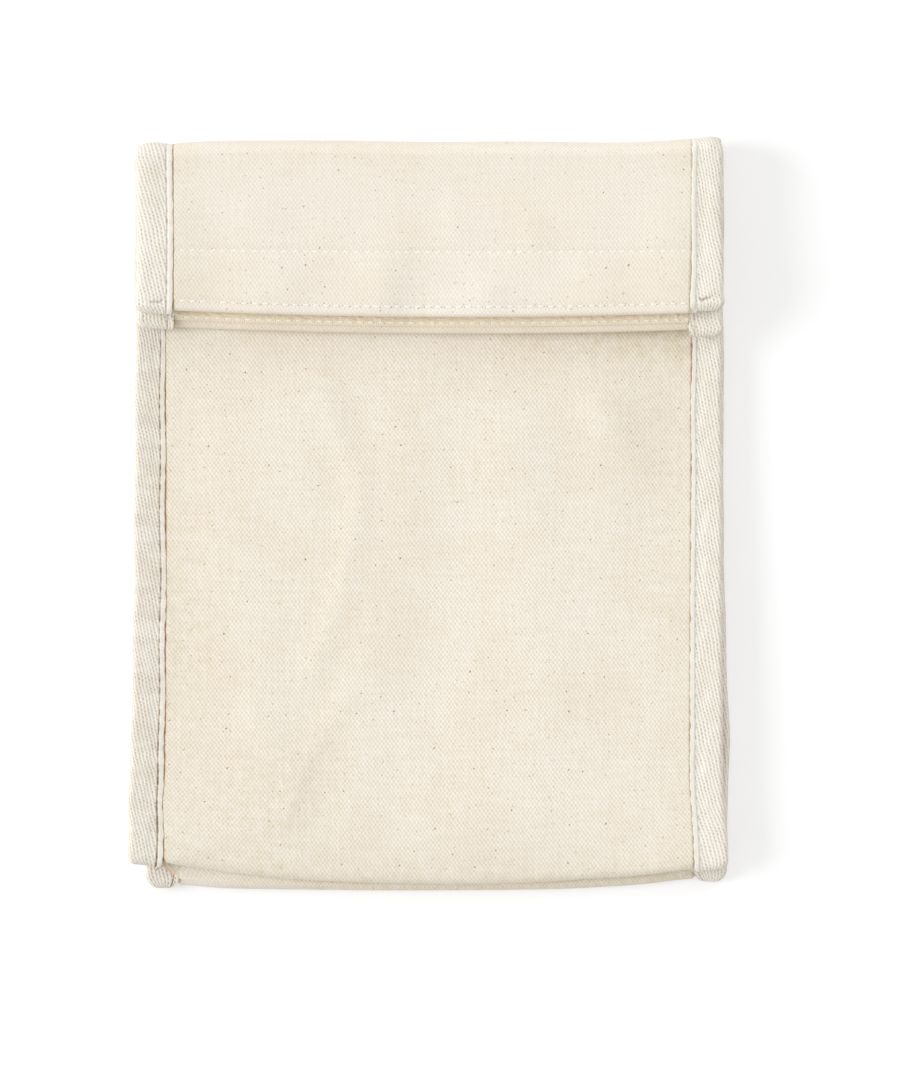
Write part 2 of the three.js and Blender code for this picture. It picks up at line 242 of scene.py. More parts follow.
class Shader:
    """The nodes of one material, or of the surroundings."""

    def __init__(self, owner: bpy.types.Material | bpy.types.World) -> None:
        """Starts with no nodes in a material or in the surroundings."""
        self.owner = owner
        owner.use_nodes = True
        self.tree = owner.node_tree
        self.tree.nodes.clear()

    def node(self, kind: str, sockets: dict | None = None, output: int | str = 0, **settings: str) -> Value:
        """Adds a node.

        Args:
            kind: The node's type.
            sockets: A value or a link for each named or numbered input.
            output: Which output to give back.
            **settings: What is set on the node first.

        Returns:
            The node's output.
        """
        made = self.tree.nodes.new(kind)
        for key, setting in settings.items():
            setattr(made, key, setting)
        for key, value in (sockets or {}).items():
            if isinstance(value, Value):
                self.tree.links.new(value.socket, made.inputs[key])
            else:
                made.inputs[key].default_value = value
        return Value(self, made.outputs[output] if made.outputs else None)

    def cloth(self) -> Value:
        """Gives a point's place on the flat cloth, across and along in mm, and how much painted shade it gets.
        """
        return self.node("ShaderNodeAttribute", output="Vector", attribute_name="cloth")

    def parts(self, vector: Value) -> tuple[Value, Value, Value]:
        """Gives the three numbers of a vector."""
        return tuple(self.node("ShaderNodeSeparateXYZ", {"Vector": vector}, output=axis) for axis in "XYZ")

    def pair(self, across: Value, along: Value) -> Value:
        """Joins two values to a vector."""
        return self.node("ShaderNodeCombineXYZ", {"X": across, "Y": along})

    def seen(self, *kinds: str) -> Value:
        """Gives 1 for rays of some kinds, and 0 for others."""
        rays = [self.node("ShaderNodeLightPath", output=f"Is {kind} Ray") for kind in kinds]
        return sum(rays, 0.0).clipped()

    def noise(self, place: Value, scale: float, detail: float = 2.0, rough: float = 0.5) -> Value:
        """Adds a noise, 0.5 on average."""
        sockets = {"Vector": place, "Scale": scale, "Detail": detail, "Roughness": rough}
        return self.node("ShaderNodeTexNoise", sockets, noise_dimensions="2D")

    def cells(self, place: Value, scale: float, output: str) -> Value:
        """Adds a pattern of cells."""
        sockets = {"Vector": place, "Scale": scale}
        return self.node("ShaderNodeTexVoronoi", sockets, output, voronoi_dimensions="2D")

    def streaks(self, place: Value, scales: Sequence[float], *grain: float) -> Value:
        """Adds a noise with one scale across the cloth and another along it."""
        across, along, _ = self.parts(place)
        return self.noise(self.pair(across * scales[0], along * scales[1]), 1.0, *grain)

    def mix(self, share: Any, first: Any, second: Any, blend: str = "MIX") -> Value:
        """Mixes two colours, by how much of the second one shows."""
        sockets = {0: share, 6: first, 7: second}
        return self.node("ShaderNodeMix", sockets, output=2, data_type="RGBA", blend_type=blend)

    def bump(self, height: Value, depth: float, strength: float) -> Value:
        """Turns a height from 0 to 1 into a normal, for a depth in millimetres."""
        sockets = {"Height": height, "Distance": depth * MM, "Strength": strength}
        return self.node("ShaderNodeBump", sockets, output="Normal")

    def principled(self, **sockets: Any) -> Value:
        """Adds a surface, whose inputs are named with _ for a space."""
        named = {key.replace("_", " "): value for key, value in sockets.items()}
        return self.node("ShaderNodeBsdfPrincipled", named)


@dataclass(frozen=True)
class Recipe:
    """A finish, and how its material is made."""

    name: str

    def material(self) -> bpy.types.Material:
        """Gives the material, made once."""
        made = bpy.data.materials.get(self.name)
        if made is None:
            made = bpy.data.materials.new(self.name)
            shader = Shader(made)
            surface = shader.principled(**self.surface(shader, shader.cloth()))
            shader.node("ShaderNodeOutputMaterial", {"Surface": surface})
        return made

    def surface(self, shader: Shader, place: Value) -> dict[str, Any]:
        """Gives a value for each input of the surface, named with _ for a space."""
        raise NotImplementedError


@dataclass(frozen=True)
class Canvas(Recipe):
    """Undyed cotton duck: a plain weave with seed flecks and faint patches, and a painted warm shade on the
    front's hem under the flap.
    """

    name: str = "cotton_duck"
    warp_pitch: float = 0.69
    weft_pitch: float = 0.94
    yarn_top: Colour = tone(250, 246, 239)
    yarn_gap: Colour = tone(226, 210, 185)
    warm_patch: Colour = tone(246, 232, 206)
    fleck: Colour = tone(164, 112, 56)
    # Colours of the painted shade: yellowish where it is faint, and brown in the painted shadow of the slots at
    # the bindings.
    shade: Colour = tone(196, 184, 76)
    seam: Colour = tone(200, 160, 104)
    flap_start: float = 400.0
    hem_start: float = 458.0
    calm_height: float = 0.6
    depth: float = 0.16

    def flecks(self, shader: Shader, place: Value, cell: float, size: float, keep: float) -> Value:
        """Makes small specks, at most one in each cell.

        Args:
            shader: The material in making.
            place: The place on the cloth.
            cell: Width of a cell.
            size: Radius of a speck.
            keep: Share of the cells that have one.

        Returns:
            A mask, 1 in a speck.
        """
        wander = shader.noise(place, 1.3, 1.0)
        across, along, _ = shader.parts(place)
        bent = shader.pair(across + wander * 0.5, along + wander * 0.7)
        near, pick = (shader.cells(bent, 1 / cell, output) for output in ("Distance", "Color"))
        chance, other, _ = shader.parts(pick)
        reach = (0.45 + other * 0.75) * (size / cell)
        return (1 - (near / reach).between(0.6, 1.15)) * (chance < keep)

    def surface(self, shader: Shader, place: Value) -> dict[str, Any]:
        """Weaves the yarns, and lays patches, flecks, the painted warm shade of the hem and the painted shade
        and shadows of the seams and the body over them.
        """
        across, along, seam = shader.parts(place)
        sway = shader.noise(place, 0.55, 1.0) + shader.noise(place, 1.6, 1.0) * 0.6 - 0.8
        warp = (across + sway * 0.5) * (math.pi / self.warp_pitch)
        weft = (along + sway * 0.4) * (math.pi / self.weft_pitch)
        weave = warp.cosine() * weft.cosine() * 0.3 + (warp + weft).cosine() * 0.09
        slubs = shader.streaks(place, (0.07, 0.9)) + shader.streaks(place, (1.1, 0.06)) - 1.0
        grit = shader.noise(place, 1.7, 2.0, 0.7) - 0.5
        height = (weave + slubs * 0.3 + grit * 0.45 + self.calm_height).clipped()
        flap = (along * along).between(self.flap_start**2, (self.flap_start + 10.0) ** 2)
        calm = height - (height - self.calm_height) * flap * 0.28
        yarns = shader.mix(calm, self.yarn_gap, self.yarn_top)
        patch = shader.noise(place, 0.035, 3.0, 0.55).between(0.38, 0.72)
        # A painted warm shade on the front's hem under the flap, added to the faint patches of the cloth's own
        # colour.
        hem = along.between(self.hem_start, self.hem_start + 3.0)
        tinted = shader.mix(patch * 0.15 + hem * 0.25, yarns, self.warm_patch, "MULTIPLY")
        dark = self.flecks(shader, place, 6.4, 0.25, 0.5)
        faint = self.flecks(shader, shader.pair(across + 37.0, along), 3.4, 0.24, 0.45)
        speckled = shader.mix(dark * 0.85, shader.mix(faint * 0.42, tinted, self.fleck), self.fleck)
        # Painted shade from the cloth's third number, in patches: painted shadow in the slots and under the
        # flap's edge, and painted shade on the body.
        patchy = shader.streaks(place, (0.3, 0.3), 3.0).between(0.3, 0.7) * 0.5 + 0.3
        dim = shader.mix(seam.between(0.2, 0.8), self.shade, self.seam)
        shaded = shader.mix(seam * patchy, speckled, dim, "MULTIPLY")
        normal = shader.bump(height, self.depth, 0.55)
        return {"Base_Color": shaded, "Roughness": 0.92, "Normal": normal, "Sheen_Weight": 0.05}


@dataclass(frozen=True)
class Twill(Recipe):
    """Undyed cotton twill tape: steep ribs with a row of pinholes in each furrow."""

    name: str = "twill_tape"
    rib_pitch: float = 1.3
    rib_slope: float = 0.24
    hole_pitch: float = 1.35
    rib_top: Colour = tone(247, 243, 236)
    furrow: Colour = tone(234, 227, 212)
    dye: Colour = tone(246, 241, 230)
    hole: Colour = tone(184, 156, 108)
    # Colour of the painted shade: painted shadow in the seam's furrow, in the dent at the end and at the edge.
    seam: Colour = tone(150, 118, 74)
    depth: float = 0.22

    def surface(self, shader: Shader, place: Value) -> dict[str, Any]:
        """Makes the ribs, which fade near the lip, where the twisted yarn of the tape's edge shows."""
        across, along, seam = shader.parts(place)
        sway = shader.noise(place, 0.35, 2.0) + shader.noise(place, 0.05, 1.0) * 3.0 - 2.0
        rib = (across + along * self.rib_slope + sway * 0.65) / self.rib_pitch
        free = (across * across).between(2.4, 5.0)
        ridge = (rib * TURN).cosine() * free * 0.5 + (0.8 - free * 0.3)
        beat = (along / self.hole_pitch + rib * 0.37 + sway * 0.6).wave().between(0.25, 0.9)
        open_ = shader.noise(place, 0.3, 2.0).between(0.3, 0.65) * 0.7 + 0.3
        pin = (1 - ridge).between(0.55, 1.0) * beat * open_
        yarn = shader.streaks(place, (2.6, 0.45), 3.0, 0.65)
        twist = ((along * 0.9 + across * 0.6 + sway * 1.5) * TURN).cosine() * (1 - free)
        height = (ridge * 0.75 + yarn * 0.35 + twist * 0.2 - pin * 0.6).clipped()
        streak = yarn * (1.7 - free * 1.4) - (1 - free) * 0.9 + twist * 0.3
        colour = shader.mix((ridge * 0.8 + streak).clipped(), self.furrow, self.rib_top)
        stain = shader.noise(place, 0.09, 2.0).between(0.35, 0.75)
        dyed = shader.mix(stain * 0.3, colour, self.dye, "MULTIPLY")
        pierced = shader.mix(pin * 0.7, dyed, self.hole)
        # Painted shade from the cloth's third number, in patches: painted shadow in the furrow, the dent and at
        # the edge.
        patchy = shader.streaks(place, (0.05, 0.2), 4.0, 0.7).between(0.35, 0.65)
        shaded = shader.mix(seam * (patchy * 0.45 + 0.15), pierced, self.seam, "MULTIPLY")
        normal = shader.bump(height, self.depth, 0.7)
        return {"Base_Color": shaded, "Roughness": 0.93, "Normal": normal, "Sheen_Weight": 0.05}


@dataclass(frozen=True)
class Nap(Recipe):
    """Tan loop tape: a fuzzy middle between two fine-ribbed edges."""

    name: str = "loop_nap"
    light: Colour = tone(255, 250, 236)
    dark: Colour = tone(255, 232, 190)
    rib: Colour = tone(236, 222, 194)
    edge: Colour = tone(252, 245, 228)
    width: float = 20.0
    edge_start: float = 1.04
    edge_end: float = 1.56
    rib_pitch: float = 0.62

    def surface(self, shader: Shader, place: Value) -> dict[str, Any]:
        """Mixes the pile of the middle and the ribs of the edges."""
        across, along, _ = shader.parts(place)
        fuzz = shader.noise(place, 2.6, 4.0, 0.75)
        curl = shader.cells(place, 1.5, "Distance")
        pile = (fuzz * 1.3 - 0.35 + curl * 0.3).clipped()
        low, high = (side.between(self.edge_start, self.edge_end) for side in (along, self.width - along))
        rim = (2 - low - high).clipped()
        ribs = (across / self.rib_pitch).wave()
        ribbed = shader.mix(ribs * 0.8, self.rib, self.edge)
        colour = shader.mix(rim, shader.mix(pile, self.dark, self.light), ribbed)
        normal = shader.bump(pile * (1 - rim) + ribs * rim * 0.3, 0.35, 0.7)
        return {"Base_Color": colour, "Roughness": 1.0, "Normal": normal, "Sheen_Weight": 0.15}


@dataclass(frozen=True)
class Plain(Recipe):
    """A quiet finish: one colour, faintly mottled, with a fine grain."""

    light: Colour
    dark: Colour
    grain: float
    roughness: float
    depth: float

    def surface(self, shader: Shader, place: Value) -> dict[str, Any]:
        """Mottles the colour and the roughness."""
        coarse = shader.noise(place, self.grain * 0.12, 2.0)
        fine = shader.noise(place, self.grain, 3.0, 0.6)
        colour = shader.mix((coarse * 0.6 + fine * 0.6 - 0.1).clipped(), self.dark, self.light)
        rough = self.roughness + (fine - 0.5) * 0.15
        return {"Base_Color": colour, "Roughness": rough, "Normal": shader.bump(fine, self.depth, 0.6)}


@dataclass(frozen=True)
class Foil(Recipe):
    """Silver laminate lining: a faint woven grid under a crinkled film."""

    name: str = "lining_film"
    light: Colour = tone(222, 224, 226)
    dark: Colour = tone(176, 180, 184)
    pitch: float = 1.6
    depth: float = 0.9

    def surface(self, shader: Shader, place: Value) -> dict[str, Any]:
        """Crinkles the film over the grid."""
        crinkle = shader.noise(place, 0.16, 5.0, 0.65)
        warp, weft = ((axis / self.pitch).wave() for axis in shader.parts(place)[:2])
        net = (warp + weft) * 0.5
        height = (crinkle * 1.2 + net * 0.12 - 0.2).clipped()
        colour = shader.mix((crinkle + net * 0.2 - 0.1).clipped(), self.dark, self.light)
        normal = shader.bump(height, self.depth, 0.7)
        return {"Base_Color": colour, "Roughness": 0.3 + crinkle * 0.2, "Metallic": 0.4, "Normal": normal}


class Finish(Enum):
    """The finishes of the bag's pieces, each with the record's material slot."""

    CANVAS = ("canvas", Canvas())
    TWILL = ("binding_tape", Twill())
    LOOP = ("loop_tape", Nap())
    HOOK = ("hook_tape", Plain("hook_plastic", tone(226, 206, 168), tone(196, 172, 130), 2.0, 0.55, 0.05))
    LINING = ("lining", Foil())
    PADDING = ("padding", Plain("foam_sheet", tone(246, 246, 243), tone(228, 228, 223), 1.2, 0.9, 0.2))
    THREAD = ("binding_tape", Plain("thread", tone(255, 254, 250), tone(246, 241, 231), 3.0, 0.8, 0.06))
    NEEDLE_HOLE = ("canvas", Plain("needle_hole", tone(192, 164, 122), tone(150, 120, 80), 3.0, 0.95, 0.02))

    def __init__(self, slot: str, recipe: Recipe) -> None:
        """Names the record's material slot and the recipe."""
        self.slot = slot
        self.recipe = recipe


@dataclass(frozen=True)
class BagFrame:
    """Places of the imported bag's layers, in millimetres, from its solids and its cloth."""

    half_width: float
    bottom_y: float
    front_bottom_y: float
    axis_y: float
    axis_z: float
    hinge_y: float
    flap_hem_y: float
    inner_hem_y: float
    lip_x: float
    fold_x: float
    gusset_top_y: float
    front_near: float
    seam_inset: float = 8.0
    canvas: float = 0.6
    padding: float = 1.2
    lining: float = 0.2
    ply_gap: float = 0.1
    leaf_gap: float = 0.3
    crease_flat: float = 0.45
    bottom_flat: float = 0.9

    @classmethod
    def read(cls) -> BagFrame:
        """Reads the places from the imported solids."""
        low, high = (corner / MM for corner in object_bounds())

        def edge(node: str, end: int, axis: int) -> float:
            """Gives the place of a node's low or high end."""
            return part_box(node)[end][axis] / MM

        return cls(
            half_width=high.x,
            bottom_y=low.y,
            front_bottom_y=edge("front_left_tape", 0, 1),
            axis_y=edge("front_top_lining", 1, 1),
            axis_z=high.z / 2,
            hinge_y=edge("front_left_tape", 1, 1),
            flap_hem_y=edge("flap_back_canvas", 0, 1),
            inner_hem_y=edge("flap_front_canvas", 0, 1),
            lip_x=edge("front_right_tape_top", 0, 0),
            fold_x=edge("right_gusset_front_leaf_canvas", 0, 0),
            gusset_top_y=edge("left_gusset_flap_back_leaf", 0, 1),
            front_near=high.z / 2 - edge("front_top_canvas", 1, 2),
        )

    @property
    def bottom_fold_y(self) -> float:
        """Place of the fold in the middle of the bottom, as deep as the gussets'."""
        return self.bottom_y + self.half_width - self.seam_inset - self.fold_x

    @property
    def crest_y(self) -> float:
        """Place of the crease's outer line."""
        return self.axis_y + self.axis_z * self.crease_flat

    @property
    def wall(self) -> float:
        """Thickness of a padded wall."""
        return self.canvas + self.padding + self.lining + 2 * self.ply_gap

    @property
    def bundle_half(self) -> float:
        """Half of the thickness of a bound seam."""
        return (2 * self.wall + self.leaf_gap) / 2

    @property
    def front_bundle(self) -> float:
        """Distance of the front seams' middle from the crease axis."""
        return self.front_near + self.bundle_half

    @property
    def back_bundle(self) -> float:
        """Distance of the back seams' middle from the crease axis."""
        return self.axis_z - self.bundle_half

    @property
    def leaf_middle(self) -> float:
        """Distance of the gussets' fold from the crease axis."""
        return (self.front_bundle + self.back_bundle) / 2

    @property
    def leaf_half_gap(self) -> float:
        """Half of the space between the two leaves of a folded gusset."""
        return self.back_bundle - self.bundle_half - self.leaf_middle


class Named(Enum):
    """Options that are also words in the pieces' names."""

    @property
    def word(self) -> str:
        """The option's word."""
        return self.name.lower()


class Side(Named):
    """The two sides of the bag."""

    LEFT = -1
    RIGHT = 1


class Face(Named):
    """The two walls of the bag."""

    FRONT = 1
    BACK = -1


class Part(Named):
    """The parts of a wall on the two sides of the crease, and the crease."""

    BODY = 0
    CREASE = 1
    FLAP = 2


class Joint(Enum):
    """How a piece follows the bodies: the one that it rides on, or the two that it lies between."""

    ON_BACK = ("back",)
    ON_FLAP_FRONT = ("flap_front",)
    ON_FLAP_BACK = ("flap_back",)
    HINGE = ("back", "front")
    UNDER_HINGE = ("front", "back")
    CREASE = ("back", "flap_front")
    MOUTH = ("flap_front", "flap_back")
    UNDER_MOUTH = ("flap_back", "flap_front")

    def hold(self, piece: bpy.types.Object, start: Sequence[float] = (), end: Sequence[float] = ()) -> None:
        """Attaches a piece to the body that it rides on; a piece between two bodies is left where it is."""
        if len(self.value) == 1:
            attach(piece, self.value[0])
        else:
            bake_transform(piece)


@dataclass(frozen=True)
class Span:
    """A stretch over which something grows smoothly from 0 to 1."""

    start: float
    end: float

    def __call__(self, place: Grid) -> Grid:
        """Gives how much of it is reached at each place."""
        return ramp(place, self.start, self.end)


@dataclass(frozen=True)
class Fold:
    """A low soft ridge in the cloth, along a line through a few places."""

    points: tuple[tuple[float, float], ...]
    width: float
    height: float

    def __call__(self, x: Grid, y: Grid) -> Grid:
        """Gives the ridge's height at each place."""
        nearest = np.full(np.broadcast(x, y).shape, np.inf)
        for (x0, y0), (x1, y1) in zip(self.points, self.points[1:]):
            dx, dy = x1 - x0, y1 - y0
            t = np.clip(((x - x0) * dx + (y - y0) * dy) / (dx**2 + dy**2), 0, 1)
            nearest = np.minimum(nearest, (x - x0 - t * dx) ** 2 + (y - y0 - t * dy) ** 2)
        return self.height * np.exp(-nearest / self.width**2)


@dataclass(frozen=True)
class Line:
    """A smooth line across the bag, through a few places on it."""

    places: tuple[tuple[float, float], ...]

    def __call__(self, x: Grid) -> Grid:
        """Gives how far up the bag the line is at each place across it."""
        curve = through(self.places, 20 * len(self.places))
        return np.interp(x, curve[:, 0], curve[:, 1])


# The outlines that the photo shows: the crease, and the bottom edges of the front and the back.
CREST = (
    ((-99.5, 124.0), (-95.0, 125.0), (-91.0, 125.0), (-88.0, 124.5), (-84.0, 124.9), (-70.0, 125.6))
    + ((-30.0, 125.7), (0.0, 125.2), (28.0, 125.4), (60.0, 125.0), (74.0, 125.4), (88.0, 126.3))
    + ((95.0, 127.0), (99.5, 126.5))
)
FRONT_LOW = (
    ((-97.0, -117.2), (-88.5, -118.5), (-77.0, -120.4), (-60.0, -122.8), (-34.0, -124.9), (5.7, -125.8))
    + ((33.8, -125.3), (50.8, -124.2), (69.0, -123.0), (89.6, -120.5), (97.0, -119.5))
)
BACK_LOW = (
    ((-97.0, -126.4), (-85.0, -126.4), (-70.0, -127.4), (-34.0, -127.9), (-10.0, -128.1))
    + ((34.0, -127.8), (50.8, -127.3), (70.0, -126.1), (88.0, -124.1), (97.0, -124.1))
)


@dataclass(frozen=True)
class Lie:
    """How the soft bag lies: what carries each layer from its flat place to where the photo shows it.

    The spans say where each move grows, across the bag or along it.
    """

    frame: BagFrame
    crest: Line = Line(CREST)
    front_low: Line = Line(FRONT_LOW)
    back_low: Line = Line(BACK_LOW)
    puff: float = 1.2
    loft: float = 1.5
    droop: float = 1.2
    dimple: float = 0.22
    flap_lift: float = 0.3
    right_lift: float = 1.8
    body_right_lift: float = 1.3
    right_tuck: float = 1.0
    left_lean: float = -2.4
    left_dent: float = -0.8
    left_dent_place: float = -103.0
    left_dent_width: float = 9.0
    right_lean: float = -1.6
    right_lean_loss: float = 0.4
    back_left_out: tuple[float, float] = (0.8, 2.6)
    back_right_out: tuple[float, float] = (0.4, 0.9)
    back_dent_place: float = -76.0
    back_dent_width: float = 12.0
    sag: float = -3.2
    sag_arch: float = 2.3
    sag_middle: float = 12.0
    crest_bend: Span = Span(84.0, 118.0)
    tuck_across: Span = Span(89.0, 98.0)
    tuck_along: Span = Span(-70.0, -10.0)
    lean_across: Span = Span(50.0, 95.0)
    lean_along: Span = Span(90.0, 70.0)
    right_corner: Span = Span(-85.0, -120.0)
    droop_across: Span = Span(84.0, 64.0)
    droop_along: Span = Span(-108.0, -126.0)
    right_across: Span = Span(40.0, 90.0)
    right_along: Span = Span(30.0, -70.0)
    loft_along: Span = Span(50.0, -80.0)
    puff_across: Span = Span(88.0, 54.0)
    puff_top: Span = Span(60.0, 26.0)
    puff_low: Span = Span(-124.0, -98.0)
    front_low_bend: Span = Span(-70.0, -120.0)
    back_low_bend: Span = Span(-90.0, -122.0)
    back_across: Span = Span(50.0, 90.0)
    back_left_top: Span = Span(104.0, 74.0)
    back_left_low: Span = Span(-104.0, -122.0)
    back_right: Span = Span(30.0, -30.0)
    sag_along: Span = Span(101.0, 70.0)
    lift_along: Span = Span(117.0, 95.0)
    flap_right_across: Span = Span(-10.0, 80.0)
    flap_right_along: Span = Span(118.0, 73.0)
    front_waves: Ripple = Ripple(4, 46.0, 120.0)
    flap_waves: Ripple = Ripple(9, 34.0, 40.0)
    front_folds: tuple[Fold, ...] = (
        Fold(((-36.0, 38.0), (-25.0, 14.0), (-24.0, 4.0), (-29.8, -26.5), (-40.0, -54.0)), 4.5, 0.55),
        Fold(((30.0, 20.0), (38.0, -30.0), (36.0, -100.0)), 16.0, 0.7),
        Fold(((56.0, 36.0), (70.0, 22.0), (84.0, 10.0)), 5.5, 0.8),
        Fold(((-86.0, -10.0), (-82.0, -40.0), (-86.0, -70.0)), 13.0, 1.2),
        Fold(((-62.0, -66.0), (-46.0, -88.0)), 4.0, 0.35),
        Fold(((-28.0, -62.0), (-43.0, -86.0), (-50.0, -104.0)), 4.0, 0.4),
        Fold(((-6.0, -70.0), (-2.0, -112.0)), 7.0, 0.3),
    )
    flap_folds: tuple[Fold, ...] = (
        Fold(((-15.5, 79.0), (-15.5, 75.0)), 7.0, 0.8),
        Fold(((19.0, 77.0), (19.0, 74.0)), 7.0, 0.85),
        Fold(((58.0, 82.0), (58.0, 78.0)), 9.0, 0.3),
        Fold(((5.0, 116.0), (8.0, 96.0)), 4.0, 0.35),
        Fold(((31.0, 112.0), (35.0, 92.0)), 4.5, 0.35),
        Fold(((-52.0, 104.0), (-48.0, 78.0)), 8.0, 0.35),
    )

    def tuck(self, x: Grid, y: Grid) -> Grid:
        """Gives how far the right edge is drawn in, least of all at the bottom."""
        return self.right_tuck * self.tuck_across(x) * self.tuck_along(y)

    def top(self, points: Grid) -> Grid:
        """Bends the crease line, which is lower on the left, and draws the right edge in."""
        x, y, z = np.moveaxis(points, -1, 0)
        bend = (self.crest(x) - self.frame.crest_y) * self.crest_bend(y)
        return join(x - self.tuck(x, y), y + bend, z)

    def sides(self, points: Grid) -> Grid:
        """Lets the front lean out to the left and the right towards its bottom."""
        x, y, z = np.moveaxis(points, -1, 0)
        down = np.clip((self.frame.hinge_y - y) / (self.frame.hinge_y - self.frame.bottom_y), 0, 1)
        left = self.left_lean * down**2 + self.left_dent * bell(y, self.left_dent_place, self.left_dent_width)
        right = self.right_lean + self.right_lean_loss * down - self.right_lean * self.right_corner(y)
        lean = np.where(x < 0, left, right) * self.lean_across(np.abs(x)) + self.tuck(x, y)
        return join(x + lean * self.lean_along(y), y, z)

    def raised(self, x: Grid, y: Grid) -> Grid:
        """Gives how far the folds inside hold the front up, most of all low down, where its edge droops."""
        droop = self.droop * self.droop_along(y) * self.droop_across(np.abs(x))
        right = self.body_right_lift * self.right_across(x) * self.right_along(y)
        return self.loft * self.loft_along(y) + right - droop

    def front(self, points: Grid, rise: float = 1.0) -> Grid:
        """Moves a layer of the front wall.

        Args:
            points: Points of the layer.
            rise: Share of the wall's puff that it follows.

        Returns:
            The moved points.
        """
        moved = self.sides(self.top(points))
        x, y = points[..., 0], points[..., 1]
        moved[..., 1] += (self.front_low(x) - self.frame.front_bottom_y) * self.front_low_bend(y)
        middle = self.puff_across(np.abs(x)) * self.puff_top(y) * self.puff_low(y)
        waves = self.front_waves(x, y) * self.dimple + sum(fold(x, y) for fold in self.front_folds)
        moved[..., 2] += rise * middle * (self.puff + waves) + self.raised(x, y)
        return moved

    def back(self, points: Grid) -> Grid:
        """Moves a layer of the back wall."""
        moved = self.top(points)
        x, y = points[..., 0], points[..., 1]
        moved[..., 1] += (self.back_low(x) - self.frame.bottom_y) * self.back_low_bend(y)
        (top, low), (even, dent) = self.back_left_out, self.back_right_out
        left = top * self.back_left_top(y) + low * self.back_left_low(y)
        right = even * self.back_right(y) + dent * bell(y, self.back_dent_place, self.back_dent_width)
        moved[..., 0] += np.where(x < 0, left, right) * self.back_across(np.abs(x))
        return moved

    def flap(self, points: Grid) -> Grid:
        """Moves a layer of the folded top, whose hems sag in the middle."""
        moved = self.top(points)
        x, y = points[..., 0], points[..., 1]
        moved[..., 1] += (self.sag + self.sag_arch * ((x - self.sag_middle) / 100.0) ** 2) * self.sag_along(y)
        lift = self.flap_lift * (1.0 + self.flap_waves(x, y)) + sum(fold(x, y) for fold in self.flap_folds)
        moved[..., 2] += lift * self.lift_along(y)
        moved[..., 2] += self.right_lift * self.flap_right_across(x) * self.flap_right_along(y)
        return moved


@dataclass(frozen=True)
class Path:
    """A line along a wall, point by point, from the bottom edge over the crease to the mouth's hem.

    place is where a point is along the bag, and roll, turn and hem are how far the wall has turned under the
    bottom, over the crease and round the hem. along is the length of cloth up to the point.
    """

    place: Grid
    roll: Grid
    turn: Grid
    hem: Grid
    along: Grid
    crease: tuple[int, int] = (0, 0)

    @classmethod
    def level(cls, place: Grid | Sequence[float], turn: float = 0.0) -> Path:
        """Gives a line that doesn't bend, whose length starts with it."""
        place = np.asarray(place, float)
        return cls(*np.broadcast_arrays(place, 0.0, turn, 0.0, place - place[0]))

    @property
    def below(self) -> Grid:
        """Whether each point is below the crease."""
        return self.turn == 0

    @property
    def folded(self) -> Grid:
        """Whether each point is past the middle of the crease."""
        return self.turn > math.pi / 2

    def cut(self, start: int, end: int | None = None, step: int = 1) -> Path:
        """Takes the points from start to end, both of them and each step between."""
        last = len(self.place) - 1 if end is None else end
        rows = np.unique(np.append(np.arange(start, last, step), last))
        return Path(*(line[rows] for line in (self.place, self.roll, self.turn, self.hem, self.along)))

    def parts(self, step: int = 1) -> dict[Part, Path]:
        """Gives the line's parts below, over and beyond the crease."""
        start, end = self.crease
        return dict(zip(Part, (self.cut(0, start, step), self.cut(start, end), self.cut(end))))


def add(name: str, data: bpy.types.ID) -> bpy.types.Object:
    """Adds an object to the scene."""
    made = bpy.data.objects.new(name, data)
    bpy.context.scene.collection.objects.link(made)
    return made


def make_piece(name: str, points: Grid, faces: list, cloth: Grid, finish: Finish) -> bpy.types.Object:
    """Makes a mesh piece that faces outwards and shades smoothly.

    Args:
        name: The piece's name.
        points: Its points, in millimetres.
        faces: Its faces.
        cloth: Each point's place on the flat cloth, in millimetres, and how much painted shade it gets.
        finish: Its finish.

    Returns:
        The piece.
    """
    mesh = bpy.data.meshes.new(name)
    mesh.from_pydata((points * MM).tolist(), [], faces)
    flat = mesh.attributes.new("cloth", "FLOAT_VECTOR", "POINT")
    padded = np.pad(cloth, ((0, 0), (0, 3 - cloth.shape[1])))
    flat.data.foreach_set("vector", padded.astype(np.float32).ravel())
    mesh.materials.append(finish.recipe.material())
    mesh.shade_smooth()
    piece = add(name, mesh)
    solid = bmesh.new()
    solid.from_mesh(mesh)
    bmesh.ops.recalc_face_normals(solid, faces=solid.faces)
    solid.to_mesh(mesh)
    solid.free()
    mesh.set_sharp_from_angle(angle=SHARP_ANGLE)
    LOG.info("made %s with %d faces", name, len(faces))
    return piece


def refinish(piece: bpy.types.Object, finish: Finish, start: int, end: int | None = None) -> None:
    """Gives the faces of a piece from start to end another finish."""
    piece.data.materials.append(finish.recipe.material())
    for polygon in piece.data.polygons[start:end]:
        polygon.material_index = 1


